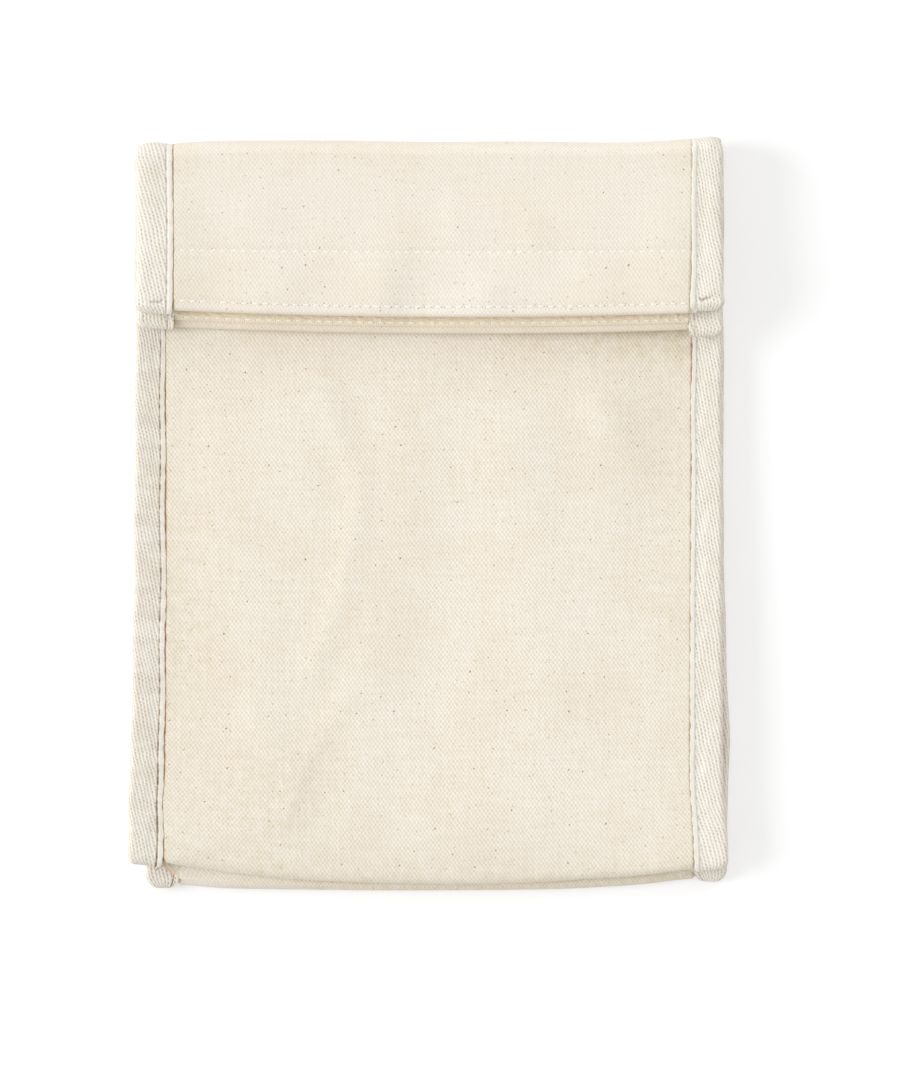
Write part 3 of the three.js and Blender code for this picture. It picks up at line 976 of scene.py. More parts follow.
@dataclass
class Shell:
    """A closed sheet of cloth: a grid of points on its outer face and one on its inner face."""

    outer: Grid
    inner: Grid
    cloth: Grid

    def faces(self) -> list[list[int]]:
        """Lists the faces: outer, inner, then the four rims."""
        across, along = self.outer.shape[:2]
        top = np.arange(across * along).reshape(across, along)
        low = top + across * along

        def quads(*corners: Grid) -> Grid:
            """Joins four grids of corners to faces."""
            return np.stack([corner.ravel() for corner in corners], axis=1)

        faces = [
            quads(top[:-1, :-1], top[1:, :-1], top[1:, 1:], top[:-1, 1:]),
            quads(low[:-1, 1:], low[1:, 1:], low[1:, :-1], low[:-1, :-1]),
            quads(top[:-1, 0], top[1:, 0], low[1:, 0], low[:-1, 0]),
            quads(low[:-1, -1], low[1:, -1], top[1:, -1], top[:-1, -1]),
            quads(low[0, :-1], low[0, 1:], top[0, 1:], top[0, :-1]),
            quads(top[-1, :-1], top[-1, 1:], low[-1, 1:], low[-1, :-1]),
        ]
        return np.vstack(faces).tolist()

    def build(self, name: str, finish: Finish, nodes: Sequence[str], held: str = "") -> bpy.types.Object:
        """Makes the piece, which replaces some nodes.

        Args:
            name: The piece's name.
            finish: Its finish.
            nodes: The nodes that it replaces.
            held: Not used.

        Returns:
            The piece.
        """
        points = np.concatenate([self.outer.reshape(-1, 3), self.inner.reshape(-1, 3)])
        cloth = np.concatenate([self.cloth.reshape(-1, self.cloth.shape[-1])] * 2)
        piece = make_piece(name, points, self.faces(), cloth, finish)
        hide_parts(*nodes)
        flat, area = self.flat_size()
        return piece

    def flat_size(self) -> tuple[tuple[float, float], float]:
        """Gives the width and length of the flat cut and its area, in metres."""
        areas = []
        for face in (self.outer, self.inner):
            cross = np.cross(face[1:, 1:] - face[:-1, :-1], face[:-1, 1:] - face[1:, :-1])
            areas.append(np.linalg.norm(cross, axis=-1).sum() / 2 * MM**2)
        width, length = (float(np.ptp(self.cloth[..., axis])) * MM for axis in (0, 1))
        return (width, length), float(min(sum(areas) / 2, width * length))


@dataclass(frozen=True)
class Wall:
    """The front or the back wall of the bag: where its plies, its gusset leaves and its seams lie."""

    frame: BagFrame
    lie: Lie
    face: Face
    seam_slope: float = 0.9
    slot_half: float = 1.45
    hem_turn: float = 23.0
    hem_flat: float = 0.8
    turned_ply: float = 2.9
    slot_starts: tuple[float, float] = (0.62, 0.38)
    lip_inset: float = 0.4
    lip_run: float = 185.0
    flap_narrowing: float = 0.8
    flap_narrow: Span = Span(104.0, 70.0)
    least_reach: float = 0.12
    leaf_low: Span = Span(-92.0, -118.0)
    front_low_shade: float = 0.15
    back_low_shade: float = 0.25
    lit_left: Span = Span(-80.0, -30.0)
    top_insets: tuple[float, float] = (1.7, 1.4)
    flap_insets: tuple[float, float] = (-0.9, 0.0)
    swing_start: float = 58.0
    swing_end: float = 44.0
    mouth_bend: float = 22.5
    crease_steps: int = 14
    near_end: tuple[float, ...] = (0, 0.15, 0.4, 0.8, 1.3, 1.9, 2.6, 3.2, 3.6, 3.9, 4.2, 4.5, 4.8, 5.3)

    @property
    def front(self) -> bool:
        """Whether this is the front wall."""
        return self.face is Face.FRONT

    @property
    def bundle(self) -> float:
        """Distance of the seams' middle from the crease axis."""
        return self.frame.front_bundle if self.front else self.frame.back_bundle

    @property
    def bottom_centre(self) -> float:
        """Place about which the wall turns under the bottom."""
        low = self.frame.front_bottom_y if self.front else self.frame.bottom_y
        return low + self.frame.bundle_half * self.frame.bottom_flat

    @property
    def hem(self) -> float:
        """Place of the mouth's hem."""
        return self.frame.inner_hem_y if self.front else self.frame.flap_hem_y

    @property
    def hem_centre(self) -> float:
        """Place about which the canvas turns round the hem."""
        return self.hem + self.turned_ply / 2 * self.hem_flat

    def run(
        self, bottom: float, hem: float, gap: float, roll: int = 0, turned: int = 0, ends: bool = False
    ) -> Path:
        """Draws a line along the wall.

        Args:
            bottom: Where it starts, in the body.
            hem: Where it ends, in the flap.
            gap: Distance between its points.
            roll: Steps that turn it under the bottom.
            turned: Steps that turn it round the hem, after which it goes back up.
            ends: Adds points close to both of its ends.

        Returns:
            The line.
        """
        top, back = self.frame.axis_y, math.pi
        near = np.array(self.near_end if ends else (0.0,))
        start, end = bottom + near[-1], hem + near[-1]
        up = np.linspace(start, top, round((top - start) / gap) + 1)
        rows = [
            join(bottom, np.linspace(back, 0, roll + 1)[:-1], 0.0, 0.0),
            join(bottom + near[:-1], 0.0, 0.0, 0.0),
            join(up, 0.0, 0.0, 0.0),
            join(top, 0.0, np.linspace(0, back, self.crease_steps + 1)[1:], 0.0),
            join(np.linspace(top, end, round((top - end) / gap) + 1)[1:], 0.0, back, 0.0),
            join(hem + near[-2::-1], 0.0, back, 0.0),
            join(hem, 0.0, back, np.linspace(0, back, turned + 1)[1:]),
            join(np.linspace(hem, hem + self.hem_turn, 8 if turned else 1)[1:], 0.0, back, back),
        ]
        place, under, turn, round_hem = np.vstack(rows).T
        first = roll + len(near) + len(up) - 2
        path = Path(place, under, turn, round_hem, place, (first, first + self.crease_steps))
        along = lengths(self.flat_points(np.zeros((1, 1)), path, *self.turned(path, 0.0))[0])
        return replace(path, along=along - along[first])

    def turned(self, path: Path, depth: Grid | float) -> tuple[Grid, Grid]:
        """Turns a ply round the hem.

        Args:
            path: The line that it follows.
            depth: How far it lies behind the wall's canvas face.

        Returns:
            Its distance from the seams' middle and its shift along the bag.
        """
        middle = self.turned_ply / 2
        arm = middle - depth
        moved = np.where(path.hem > 0, middle - arm * np.cos(path.hem), depth)
        return self.frame.bundle_half - moved, -arm * self.hem_flat * np.sin(path.hem)

    def lip(self, x: Grid | float, path: Path) -> Grid:
        """Gives how far from the bag's middle the binding's lip lies, on the side that x is on."""
        side = np.where(np.asarray(x) < 0, 0, 1)
        down = np.clip((self.frame.hinge_y - path.place) / self.lip_run, 0, 1)
        low = self.lip_inset + np.take(self.top_insets, side) * (1 - down) * self.front
        flap = np.take(self.flap_insets, side) - self.flap_narrowing * side * self.flap_narrow(path.place)
        return self.frame.lip_x + np.where(path.folded, flap, low)

    def pressed(self, x: Grid, path: Path, half: Grid | float, share: Grid | float = 1.0) -> Grid:
        """Presses a ply towards the seams' middle as it goes into the binding."""
        start = np.take(self.slot_starts, np.where(np.asarray(x) < 0, 0, 1))
        press = ramp(np.abs(x) - self.lip(x, path) + start, 0.0, self.seam_slope) * share
        return half * (1 - (1 - self.slot_half / self.frame.bundle_half) * press)

    def low_shade(self, x: Grid) -> Grid:
        """Gives the warm shade at the bottom edge: faint on the front, and none on the back's lit left."""
        return np.where(self.front, self.front_low_shade, self.back_low_shade * self.lit_left(x))

    def flat_points(self, x: Grid, path: Path, half: Grid, shift: Grid | float = 0.0) -> Grid:
        """Turns places on the wall into points of the neatly folded bag.

        Args:
            x: Places across the bag.
            path: The line along the wall.
            half: Distances from the seams' middle, towards the outside of the bag.
            shift: How far the points are moved along the bag.

        Returns:
            The points.
        """
        frame = self.frame
        reach = np.maximum(self.bundle - self.face.value * half * np.cos(path.roll), self.least_reach)
        place = path.place + shift - half * frame.bottom_flat * np.sin(path.roll)
        y = place + reach * frame.crease_flat * np.sin(path.turn)
        return join(x, y, frame.axis_z - reach * np.cos(path.turn)).astype(float)

    def lay(self, x: Grid, path: Path, half: Grid, shift: Grid | float = 0.0) -> Grid:
        """Turns places on the wall into points of the bag as it lies."""
        flat = self.flat_points(x, path, half, shift)
        body = self.lie.front(flat) if self.front else self.lie.back(flat)
        return np.where(path.folded[..., None], self.lie.flap(flat), body)

    def ply(self, x: Grid, path: Path, depth: Grid | float) -> Grid:
        """Gives the points of a ply at a depth behind the wall's canvas face."""
        half, shift = self.turned(path, depth)
        return self.lay(x, path, self.pressed(x, path, half), shift)

    def leaf(self, x: Grid, path: Path, half: Grid, share: Grid, shift: Grid | float = 0.0) -> Grid:
        """Gives points of a folded leaf, which goes over from its wall to halfway between the walls."""
        flat = self.flat_points(x, path, half, shift)
        halfway = 0.5 - 0.5 * self.face.value * self.leaf_low(flat[..., 1])
        other = (share * halfway)[..., None]
        own, far = [self.lie.front(flat, 0.0), self.lie.back(flat)][:: self.face.value]
        return np.where(path.folded[..., None], self.lie.flap(flat), own * (1 - other) + far * other)

    def hold(self, piece: bpy.types.Object, part: Part, depth: float) -> None:
        """Makes a piece of the wall follow the bodies.

        Args:
            piece: The piece.
            part: The part of the wall that it belongs to.
            depth: How far it lies behind the wall's canvas face.
        """
        frame = self.frame
        reach = max(self.bundle - self.face.value * (frame.bundle_half - depth), 0.2)
        if part is Part.CREASE:
            Joint.CREASE.hold(piece, (0, 0, frame.axis_z - reach), (0, 0, frame.axis_z + reach))
        elif self.front and part is Part.BODY:
            Joint.HINGE.hold(piece, (0, self.swing_start, 0), (0, self.swing_end, 0))
        elif not self.front and part is Part.FLAP:
            Joint.MOUTH.hold(piece, (0, frame.axis_y, 0), (0, frame.axis_y - self.mouth_bend, 0))
        else:
            (Joint.ON_BACK if part is Part.BODY else Joint.ON_FLAP_FRONT).hold(piece)


@dataclass(frozen=True)
class Panel:
    """A padded wall of the bag: canvas, padding and lining, from the bottom to the mouth's hem.

    marks are faint darker, warmer patches on the front: their places, their sizes and how dark they are.
    """

    wall: Wall
    ply_edge: float = 97.65
    trim_rise: float = 7.0
    groove: float = 0.3
    groove_width: float = 0.8
    stitch_rows: tuple[float, ...] = (72.3, 88.8)
    trimmed: float = 0.82
    fanned: Span = Span(60.0, 84.0)
    # Strengths and places of the painted shade on the body: an even painted shade, painted shadow near the
    # flap's edge, and painted shade at the bottom edge.
    even_shade: float = 0.05
    near_shades: tuple[float, float] = (0.05, 0.28)
    near_across: Span = Span(5.0, 80.0)
    near_place: float = 60.0
    near_width: float = 9.0
    low_along: Span = Span(-112.0, -124.0)
    # Painted shadow in the slot at the binding's lip, lighter on the right, which faces the light.
    seam_shades: tuple[float, float, float] = (0.25, 0.25, 0.45)
    seam_place: float = 42.0
    seam_width: float = 18.0
    seam_fade: float = 0.35
    seam_top: Span = Span(94.0, 106.0)
    slit: float = 0.5
    # Painted shade on the canvas beside the bindings.
    halo: float = 0.08
    halo_width: float = 9.0
    marks: tuple[tuple[float, ...], ...] = (
        (-52.0, -97.0, 22.0, 19.0, 0.2),
        (-84.0, -45.0, 17.0, 34.0, 0.16),
        (74.0, 30.0, 14.0, 22.0, 0.09),
        (-36.0, -30.0, 10.0, 46.0, 0.08),
    )

    def plies(self) -> list[tuple[str, float, float, Finish]]:
        """Lists the plies: name, depths of both faces, and finish."""
        frame = self.wall.frame
        padding = frame.canvas + frame.ply_gap
        lining = padding + frame.padding + frame.ply_gap
        return [
            ("canvas", 0.0, frame.canvas, Finish.CANVAS),
            ("padding", padding, padding + frame.padding, Finish.PADDING),
            ("lining", lining, lining + frame.lining, Finish.LINING),
        ]

    def across(self, path: Path, fine: bool) -> Grid:
        """Gives the places across the bag, close to the bindings' lips and short inside their ends."""
        wall, lip = self.wall, self.wall.frame.lip_x
        edges = columns((0, lip - 4, lip + 1, self.ply_edge), (40, 18, 4) if fine else (14, 4, 3))[:, None]
        low, high = wall.bottom_centre + self.trim_rise, wall.hem + self.trim_rise
        ends = np.where(path.turn > 0, (high - path.place) * (path.turn > 3), low - path.place)
        size = np.abs(edges)
        moved = wall.lip(edges, path) - lip
        short = 1 - self.trimmed * ramp(ends, 0.0, self.trim_rise)
        outside = np.clip(size - lip, 0, None) * (1 - moved / (self.ply_edge - lip)) * short
        return np.sign(edges) * (np.minimum(size, lip) + moved * self.fanned(size) + outside)

    def sewn(self, path: Path) -> Grid:
        """Gives how deep the stitch rows pull the canvas of the flap in."""
        rows = sum(bell(path.place, row, self.groove_width) for row in self.stitch_rows)
        return self.groove * rows * ((path.turn > 3) & (path.hem == 0) & (not self.wall.front))

    def shade(self, x: Grid, path: Path) -> Grid:
        """Gives the painted warm shade on the body: an even painted shade, painted shadow close to the flap's
        edge and at the bottom edge, and the marks.
        """
        least, more = self.near_shades
        near = bell(path.place, self.near_place, self.near_width) * (least + more * self.near_across(x))
        low = self.low_along(path.place) * self.wall.low_shade(x)
        marks = sum(
            depth * bell(x, across, wide) * bell(path.place, along, tall)
            for across, along, wide, tall, depth in self.marks
        )
        return (self.even_shade + near + low + marks * self.wall.front) * path.below

    def seam_depth(self, x: Grid, path: Path) -> Grid:
        """Gives how dark the painted shadow in the slot at the binding's lip is, fainter at the top and on the
        right.
        """
        least, body, near = self.seam_shades
        right = least + (body + near * bell(path.place, self.seam_place, self.seam_width)) * path.below
        return np.where(x < 0, 1.0 - self.seam_fade * self.seam_top(path.place), right)

    def build(self) -> None:
        """Builds the plies in the body, over the crease and in the flap."""
        wall, word = self.wall, self.wall.face.word
        for ply, near, far, finish in self.plies():
            canvas = finish is Finish.CANVAS
            hem = wall.hem_centre if canvas else wall.hem + 1.6
            whole = wall.run(wall.bottom_centre, hem, 1.0 if canvas else 4.0, 8, 8 if canvas else 0)
            nodes = {
                Part.BODY: [f"{word}_{ply}", f"{word}_top_{ply}"][: 1 + wall.front],
                Part.CREASE: [f"{word}_crease_{ply}"],
                Part.FLAP: [f"flap_{word}_{ply}"],
            }
            for part, path in whole.parts(2 if canvas else 1).items():
                x = self.across(path, canvas)
                dent = self.sewn(path) * canvas
                outer, inner = (wall.ply(x, path, depth + dent) for depth in (near, far))
                inward = wall.lip(x, path) - np.abs(x)
                # Painted shadow in the slot at the lip, painted shade beside the binding, and the body's
                # painted shade.
                seam = bell(inward, 0.1, self.slit) * self.seam_depth(x, path)
                seam = seam + self.halo * bell(inward, 0.0, self.halo_width) + self.shade(x, path)
                shell = Shell(outer, inner, join(x, wall.face.value * (path.along + 400.0), seam))
                held = "" if finish is Finish.PADDING else "stretched"
                piece = shell.build(f"{word}_{part.word}_{ply}_ply", finish, nodes[part], held)
                wall.hold(piece, part, (near + far) / 2)


@dataclass(frozen=True)
class Bellows:
    """The folded gussets and the folded bottom between the two walls."""

    walls: tuple[Wall, Wall]
    seam_edge: float = 97.65
    low_end: float = 0.4
    bend_reach: float = 92.0
    layers: tuple[str, ...] = ("canvas", "padding", "lining")
    ratios: tuple[float, ...] = (1, 0.93, 0.86, 0.8, 0.78, 0.76, 0.74, 0.72, 0.65, 0.52, 0.39, 0.26, 0.13, 0)

    @property
    def frame(self) -> BagFrame:
        """The bag's frame."""
        return self.walls[0].frame

    def arc(self, depth: float) -> tuple[Grid, Grid]:
        """Gives a ply's fold: how far it goes beyond its centre, and its distance from the seams' middle."""
        frame = self.frame
        radius = frame.leaf_half_gap + depth
        angle = np.linspace(0, math.pi / 2, 6)[1:]
        return radius * np.sin(angle), frame.front_bundle - frame.leaf_middle + radius * np.cos(angle)

    def gusset_face(self, wall: Wall, side: Side, path: Path, depth: float) -> Grid:
        """Gives the points of one face of a gusset leaf, from its seam to its fold."""
        frame = self.frame
        below = np.where(path.below, np.clip(frame.bottom_fold_y - path.place, 0, None), 0.0)
        fold = frame.fold_x + below
        centre = fold + frame.leaf_half_gap + frame.wall
        beyond, bent = self.arc(depth)
        ratios = np.array(self.ratios)[:, None]
        x = np.vstack([centre + (self.seam_edge - centre) * ratios, centre - beyond[:, None]])
        half = np.concatenate([np.full(len(ratios), depth - frame.bundle_half), bent])[:, None]
        share = np.clip((self.seam_edge - x) / (self.seam_edge - fold), 0, 1)
        return wall.leaf(side.value * x, path, wall.pressed(side.value * x, path, half, 1 - share), share)

    def bottom_face(self, wall: Wall, depth: float) -> Grid:
        """Gives the points of one face of a leaf of the bottom, from the bottom edge to its fold."""
        frame = self.frame
        low = wall.bottom_centre
        corner = frame.fold_x + frame.bottom_fold_y - low - 0.3
        x = columns((0, frame.fold_x, corner), (10, 18))[:, None]
        fold = frame.bottom_fold_y - np.clip(np.abs(x) - frame.fold_x, 0, None)
        bend = frame.leaf_half_gap + frame.wall
        shrink = np.clip((fold - low) / (1.6 * bend), 0.05, 1)
        centre = fold - bend * shrink
        beyond, bent = self.arc(depth)
        ratios = np.linspace(0, 1, 10)
        place = np.hstack([low + (centre - low) * ratios, centre + beyond * shrink])
        half = np.concatenate([np.full(len(ratios), depth - frame.bundle_half), bent])
        share = np.clip((place - low) / (fold - low), 0, 1)
        path = Path.level(np.full(len(half), low))
        x = np.broadcast_to(x, place.shape)
        return wall.leaf(x, path, wall.pressed(x, path, half, 1 - share), share, place - low)

    def leaf(
        self, name: str, faces: Sequence[Grid], nodes: Sequence[str], shade: Grid | float = 0.0
    ) -> bpy.types.Object:
        """Builds a leaf: canvas on its outer face and lining on its inner one.

        Args:
            name: The piece's name.
            faces: The points of its outer and of its inner face.
            nodes: The nodes that it replaces.
            shade: How much painted shade it gets near the bottom edge.

        Returns:
            The piece.
        """
        outer, inner = faces
        shell = Shell(outer, inner, join(lengths(outer, 0), lengths(outer, 1), shade))
        piece = shell.build(name, Finish.CANVAS, nodes, "folded")
        count = (outer.shape[0] - 1) * (outer.shape[1] - 1)
        refinish(piece, Finish.LINING, count, 2 * count)
        return piece

    def build_gusset(self, wall: Wall, side: Side) -> None:
        """Builds the leaf of a side gusset that is sewn to one wall, in four parts."""
        frame, word, front = self.frame, wall.face.word, wall.front
        whole = wall.run(wall.bottom_centre + self.low_end, frame.gusset_top_y, 3.0)
        start, end = whole.crease
        hinge = int(np.argmin(np.abs(whole.place[:start] - frame.hinge_y)))
        name = f"{side.word}_gusset"
        body, low = ([f"{name}{leaf}_{layer}" for layer in self.layers] for leaf in ("", "_front_leaf"))
        out = (side.value * self.bend_reach, 0, 0), (0, 0, 0)
        reach = abs(frame.leaf_middle - wall.face.value * (frame.leaf_half_gap + frame.wall / 2))
        over = (0, 0, frame.axis_z - reach), (0, 0, frame.axis_z + reach)
        flap = [f"{name}_flap_{word}_leaf"]
        swing, mouth = (Joint.UNDER_HINGE, Joint.MOUTH) if front else (Joint.HINGE, Joint.UNDER_MOUTH)
        for part, path, nodes, joint, places in (
            ("low", whole.cut(0, hinge), low if front else body, swing, out),
            ("high", whole.cut(hinge, start), body, Joint.ON_BACK, ()),
            ("crease", whole.cut(start, end), [f"{name}_crease"], Joint.CREASE, over),
            ("flap", whole.cut(end), flap, mouth, out),
        ):
            faces = [self.gusset_face(wall, side, path, depth) for depth in (0.0, frame.wall)]
            joint.hold(self.leaf(f"{side.word}_{word}_gusset_{part}", faces, nodes), *places)

    def build_bottom(self, wall: Wall) -> None:
        """Builds the leaf of the bottom that goes on from one wall."""
        word, low = wall.face.word, self.frame.bottom_y
        faces = [self.bottom_face(wall, depth) for depth in (0.0, self.frame.wall)]
        x, y = faces[0][..., 0], faces[0][..., 1]
        # Painted shade near the bottom edge, fading up the leaf, and a painted shadow in the gap beside the
        # back's left binding.
        slot = 1.6 * bell(x, -87.6, 1.3) * (not wall.front)
        shade = (wall.low_shade(x) + slot) * (1 - ramp(y - wall.bottom_centre, 8.0, 17.0))
        piece = self.leaf(f"{word}_bottom_leaf", faces, [f"{word}_{layer}" for layer in self.layers], shade)
        joint = Joint.UNDER_HINGE if wall.front else Joint.HINGE
        joint.hold(piece, (0, low, 0), (0, low + self.bend_reach, 0))

    def build(self) -> None:
        """Builds all leaves."""
        for wall in self.walls:
            self.build_bottom(wall)
            for side in Side:
                self.build_gusset(wall, side)


def beads(starts: Grid, ends: Grid, radius: float) -> tuple[Grid, Grid]:
    """Makes a rounded thread from each start to its end.

    Args:
        starts: The starts, one row each.
        ends: The ends, one row each.
        radius: Radius of the thread.

    Returns:
        The points and the faces, of which the triangles have their last point twice.
    """
    rings, spokes = BEAD_GRID
    heading = ends - starts
    long = np.linalg.norm(heading, axis=1, keepdims=True)
    heading = heading / long
    side = np.cross(heading, BEAD_UP)
    side = side / np.linalg.norm(side, axis=1, keepdims=True)
    up = np.cross(side, heading)
    tilt = np.linspace(-math.pi / 2, math.pi / 2, rings + 2)[1:-1, None, None]
    turn = np.linspace(0, TURN, spokes, endpoint=False)[:, None]
    vectors = ((starts + ends) / 2, heading * (long / 2), side, up)
    middle, reach, side, up = (vector[:, None, None] for vector in vectors)
    around = side * np.cos(turn) + up * np.sin(turn)
    ring = middle + reach * np.sin(tilt) + radius * np.cos(tilt) ** BEAD_BLUNTNESS * around
    count = len(starts)
    points = np.concatenate([ring.reshape(count, -1, 3), starts[:, None], ends[:, None]], axis=1)
    index = np.arange(rings * spokes).reshape(rings, spokes)
    after = np.roll(index, -1, axis=1)
    faces = np.vstack(
        [
            join(index[:-1], after[:-1], after[1:], index[1:]).reshape(-1, 4),
            join(rings * spokes, after[0], index[0], index[0]),
            join(rings * spokes + 1, index[-1], after[-1], after[-1]),
        ]
    )
    stride = rings * spokes + 2
    every = (faces[None] + stride * np.arange(count)[:, None, None]).reshape(-1, 4)
    return points.reshape(-1, 3), every


def make_beads(name: str, sets: Sequence[tuple[Grid, Grid]], finish: Finish) -> bpy.types.Object:
    """Makes one piece of two sets of beads."""
    (first, first_faces), (second, second_faces) = sets
    points = np.vstack([first, second])
    faces = np.vstack([first_faces, second_faces + len(first)]).tolist()
    return make_piece(name, points, [tuple(dict.fromkeys(face)) for face in faces], points[:, :2], finish)


@dataclass(frozen=True)
class Thread:
    """The sewing thread: short stitches in a row with a needle hole at each end."""

    pitch: float = 3.45
    length: float = 2.15
    width: float = 0.6
    hole: float = 0.18
    sunk: float = 0.08
    slant: float = 0.0

    def sew(self, name: str, lines: Sequence[Grid], seed: int) -> bpy.types.Object:
        """Sews along lines on the surface.

        Args:
            name: The piece's name.
            lines: The lines, each a row of points.
            seed: Seed of the small unevenness.

        Returns:
            The piece.
        """
        pick = np.random.default_rng(seed)
        starts, ends = [], []
        for line in lines:
            run = lengths(line)
            first = np.arange(self.pitch / 2, run[-1] - self.length, self.pitch)
            first = first + pick.normal(0, 0.12, len(first))
            last = first + self.length + pick.normal(0, 0.1, len(first))
            for store, place in ((starts, first), (ends, last)):
                store.append(np.column_stack([np.interp(place, run, line[:, axis]) for axis in range(3)]))
        start, end = np.vstack(starts), np.vstack(ends)
        if self.slant:
            slope = self.slant * (np.sin(start[:, 0] / 17.0) + pick.normal(0, 0.4, len(start)))
            start[:, 1] -= slope / 2
            end[:, 1] += slope / 2
        gap = (end - start) * 0.1
        stitches = beads(start - gap, end + gap, self.width / 2)
        tips = np.vstack([start - gap * 1.6, end + gap * 1.6])
        gaps = np.vstack([gap, gap])
        step = gaps / np.linalg.norm(gaps, axis=1, keepdims=True) * self.hole
        holes = beads(tips - step, tips + step, self.hole)
        holes[0][:, 2] -= self.sunk
        piece = make_beads(name, (stitches, holes), Finish.THREAD)
        refinish(piece, Finish.NEEDLE_HOLE, len(stitches[1]))
        return piece


@dataclass(frozen=True)
class Binding:
    """A twill tape folded round the seam of one wall on one side, from the bottom to the mouth.

    profile is the outline of its upper half: places from its lip, 0, to its edge, 1, and how far its skin
    stands above its even height.
    """

    wall: Wall
    side: Side
    bottom_end: float
    hem_end: float
    seed: int
    width: float = 12.0
    skin: float = 0.8
    corner: float = 3.0
    back_corner: float = 5.0
    groove: float = 0.165
    groove_width: float = 0.022
    groove_depths: tuple[float, float] = (0.42, 0.1)
    waviness: float = 0.13
    wave_sizes: tuple[float, float] = (9.0, 14.0)
    sway: float = 0.22
    sway_sizes: tuple[float, float] = (9.0, 45.0)
    fray: float = 0.14
    fray_sizes: tuple[float, float] = (6.0, 4.5)
    fray_reach: float = 0.08
    fold_height: float = 0.45
    dent_depth: float = 0.7
    dent_width: float = 0.4
    bulge: float = 0.6
    flap_narrowing: float = 0.6
    thinnest: float = 0.14
    sunk_along: Span = Span(-70.0, -110.0)
    shown: Span = Span(66.0, 58.0)
    over_crease: Span = Span(0.6, 2.2)
    rim: Span = Span(0.93, 0.98)
    profile: tuple[tuple[float, float], ...] = (
        ((0.0, 0.0), (0.05, 0.15), (0.12, 0.1), (0.145, -0.05), (0.165, -0.15), (0.185, -0.2), (0.225, -0.2))
        + ((0.32, -0.15), (0.48, 0.02), (0.68, 0.2), (0.82, 0.15), (0.92, -0.12), (0.975, -0.85))
        + ((1.0, -2.35),)
    )

    @property
    def name(self) -> str:
        """The tape's name."""
        return f"{self.wall.face.word}_{self.side.word}_tape"

    @cached_property
    def line(self) -> Path:
        """The line along the whole tape."""
        return self.wall.run(self.bottom_end, self.hem_end, 1.2, ends=True)

    def section(self) -> tuple[Grid, Grid]:
        """Gives the outline of the folded tape: places from its lip to its edge, and offsets of its skin."""
        top = through(self.profile, 53)
        top[-1] = (1.0, -self.wall.frame.bundle_half)
        return top[:, 0], top[:, 1]

    def at(self, path: Path, share: Grid, offset: Grid, under: Grid, skin: float) -> Grid:
        """Gives points of the tape's skin.

        Args:
            path: The line along the tape.
            share: Places from the lip, 0, to the edge, 1.
            offset: How far the skin stands above its even height.
            under: True for the tape's inner half.
            skin: How far below its outer skin the points lie.

        Returns:
            The points.
        """
        share, offset, under = share[:, None], offset[:, None], under[:, None]
        start, end = path.along - self.line.along[0], self.line.along[-1] - path.along
        corner = np.where((not self.wall.front) & (start < end), self.back_corner, self.corner)
        rounding = np.sqrt(1 - (1 - np.clip(np.minimum(start, end) / corner, 0, 1)) ** 2)
        raised = self.raised(path, share, offset)
        fold = self.fold_height * bell(end, 2.3, 1.3) - self.dent_depth * self.crumple(share, end)
        above = np.where(under, np.minimum(raised, 0), raised + fold * self.swell(path))
        even = np.maximum(self.wall.frame.bundle_half + above, 0)
        if skin:
            even = np.clip(np.minimum(even - 0.2, np.maximum(0.66 * even, 1.5)), 0, None)
        half = even * np.maximum(rounding, self.thinnest) * np.where(under, -1, 1)
        lip, edge = self.borders(path, (1 - rounding) * corner, corner > self.corner)
        edge = edge - skin + self.bulge * bell(end, 2.6, 1.8) * path.folded
        x = lip + (edge - lip) * share + self.wander(path, share)
        return self.wall.lay(self.side.value * x, path, half)

    def raised(self, path: Path, share: Grid, offset: Grid) -> Grid:
        """Gives how far the skin stands above its even height, with waves and the seam's furrow."""
        free = self.swell(path)
        waves = Ripple(self.seed, *self.wave_sizes)(share * self.width, path.along)
        raised = np.where(offset > 0, offset * free, offset)
        raised = raised + self.waviness * waves * np.sin(math.pi * share) * free
        return raised - self.furrow(share, path) * self.groove_depths[self.side is Side.RIGHT]

    def borders(self, path: Path, cut: Grid, wide: Grid) -> tuple[Grid, Grid]:
        """Gives how far out the tape's lip and edge lie, where its rounded corners cut some off."""
        lip = self.wall.lip(self.side.value, path) + cut * np.where(wide, 0.7, 0.35)
        narrow = self.flap_narrowing * path.folded + np.sin(path.turn) ** 2
        return lip, self.wall.frame.lip_x + self.width - narrow - cut * 0.9

    def wander(self, path: Path, share: Grid) -> Grid:
        """Gives how far the tape wanders to the side, and its frayed lip a little more."""
        slow = Ripple(self.seed + 7, *self.sway_sizes)(0.0, path.along)
        ragged = Ripple(self.seed + 11, *self.fray_sizes)(0.0, path.along)
        return self.sway * slow + self.fray * ragged * bell(share, 0.0, self.fray_reach)

    def furrow(self, share: Grid, path: Path) -> Grid:
        """Gives the seam's furrow beside the lip, from 0 to 1, and on the left up to 2 at the bottom."""
        low = self.sunk_along(path.place) * path.below * (self.side is Side.LEFT and self.wall.front)
        return bell(share, self.groove, self.groove_width) * (1 + low)

    def crumple(self, share: Grid, end: Grid) -> Grid:
        """Gives the crooked dent across the tape where its end is turned under, from 0 to 1."""
        line = 4.3 + 0.45 * np.sin(share * 9.0 + self.seed) + 0.2 * np.sin(share * 31.0)
        return ramp(share, 0.2, 0.32) * ramp(share, 0.85, 0.45) * bell(end, line, self.dent_width)

    def swell(self, path: Path) -> Grid:
        """Gives where the tape is free to stand proud: not under the flap, and not on the floor."""
        if self.wall.front:
            return np.where(path.below, self.shown(path.place), 0.0)
        return self.over_crease(path.turn)

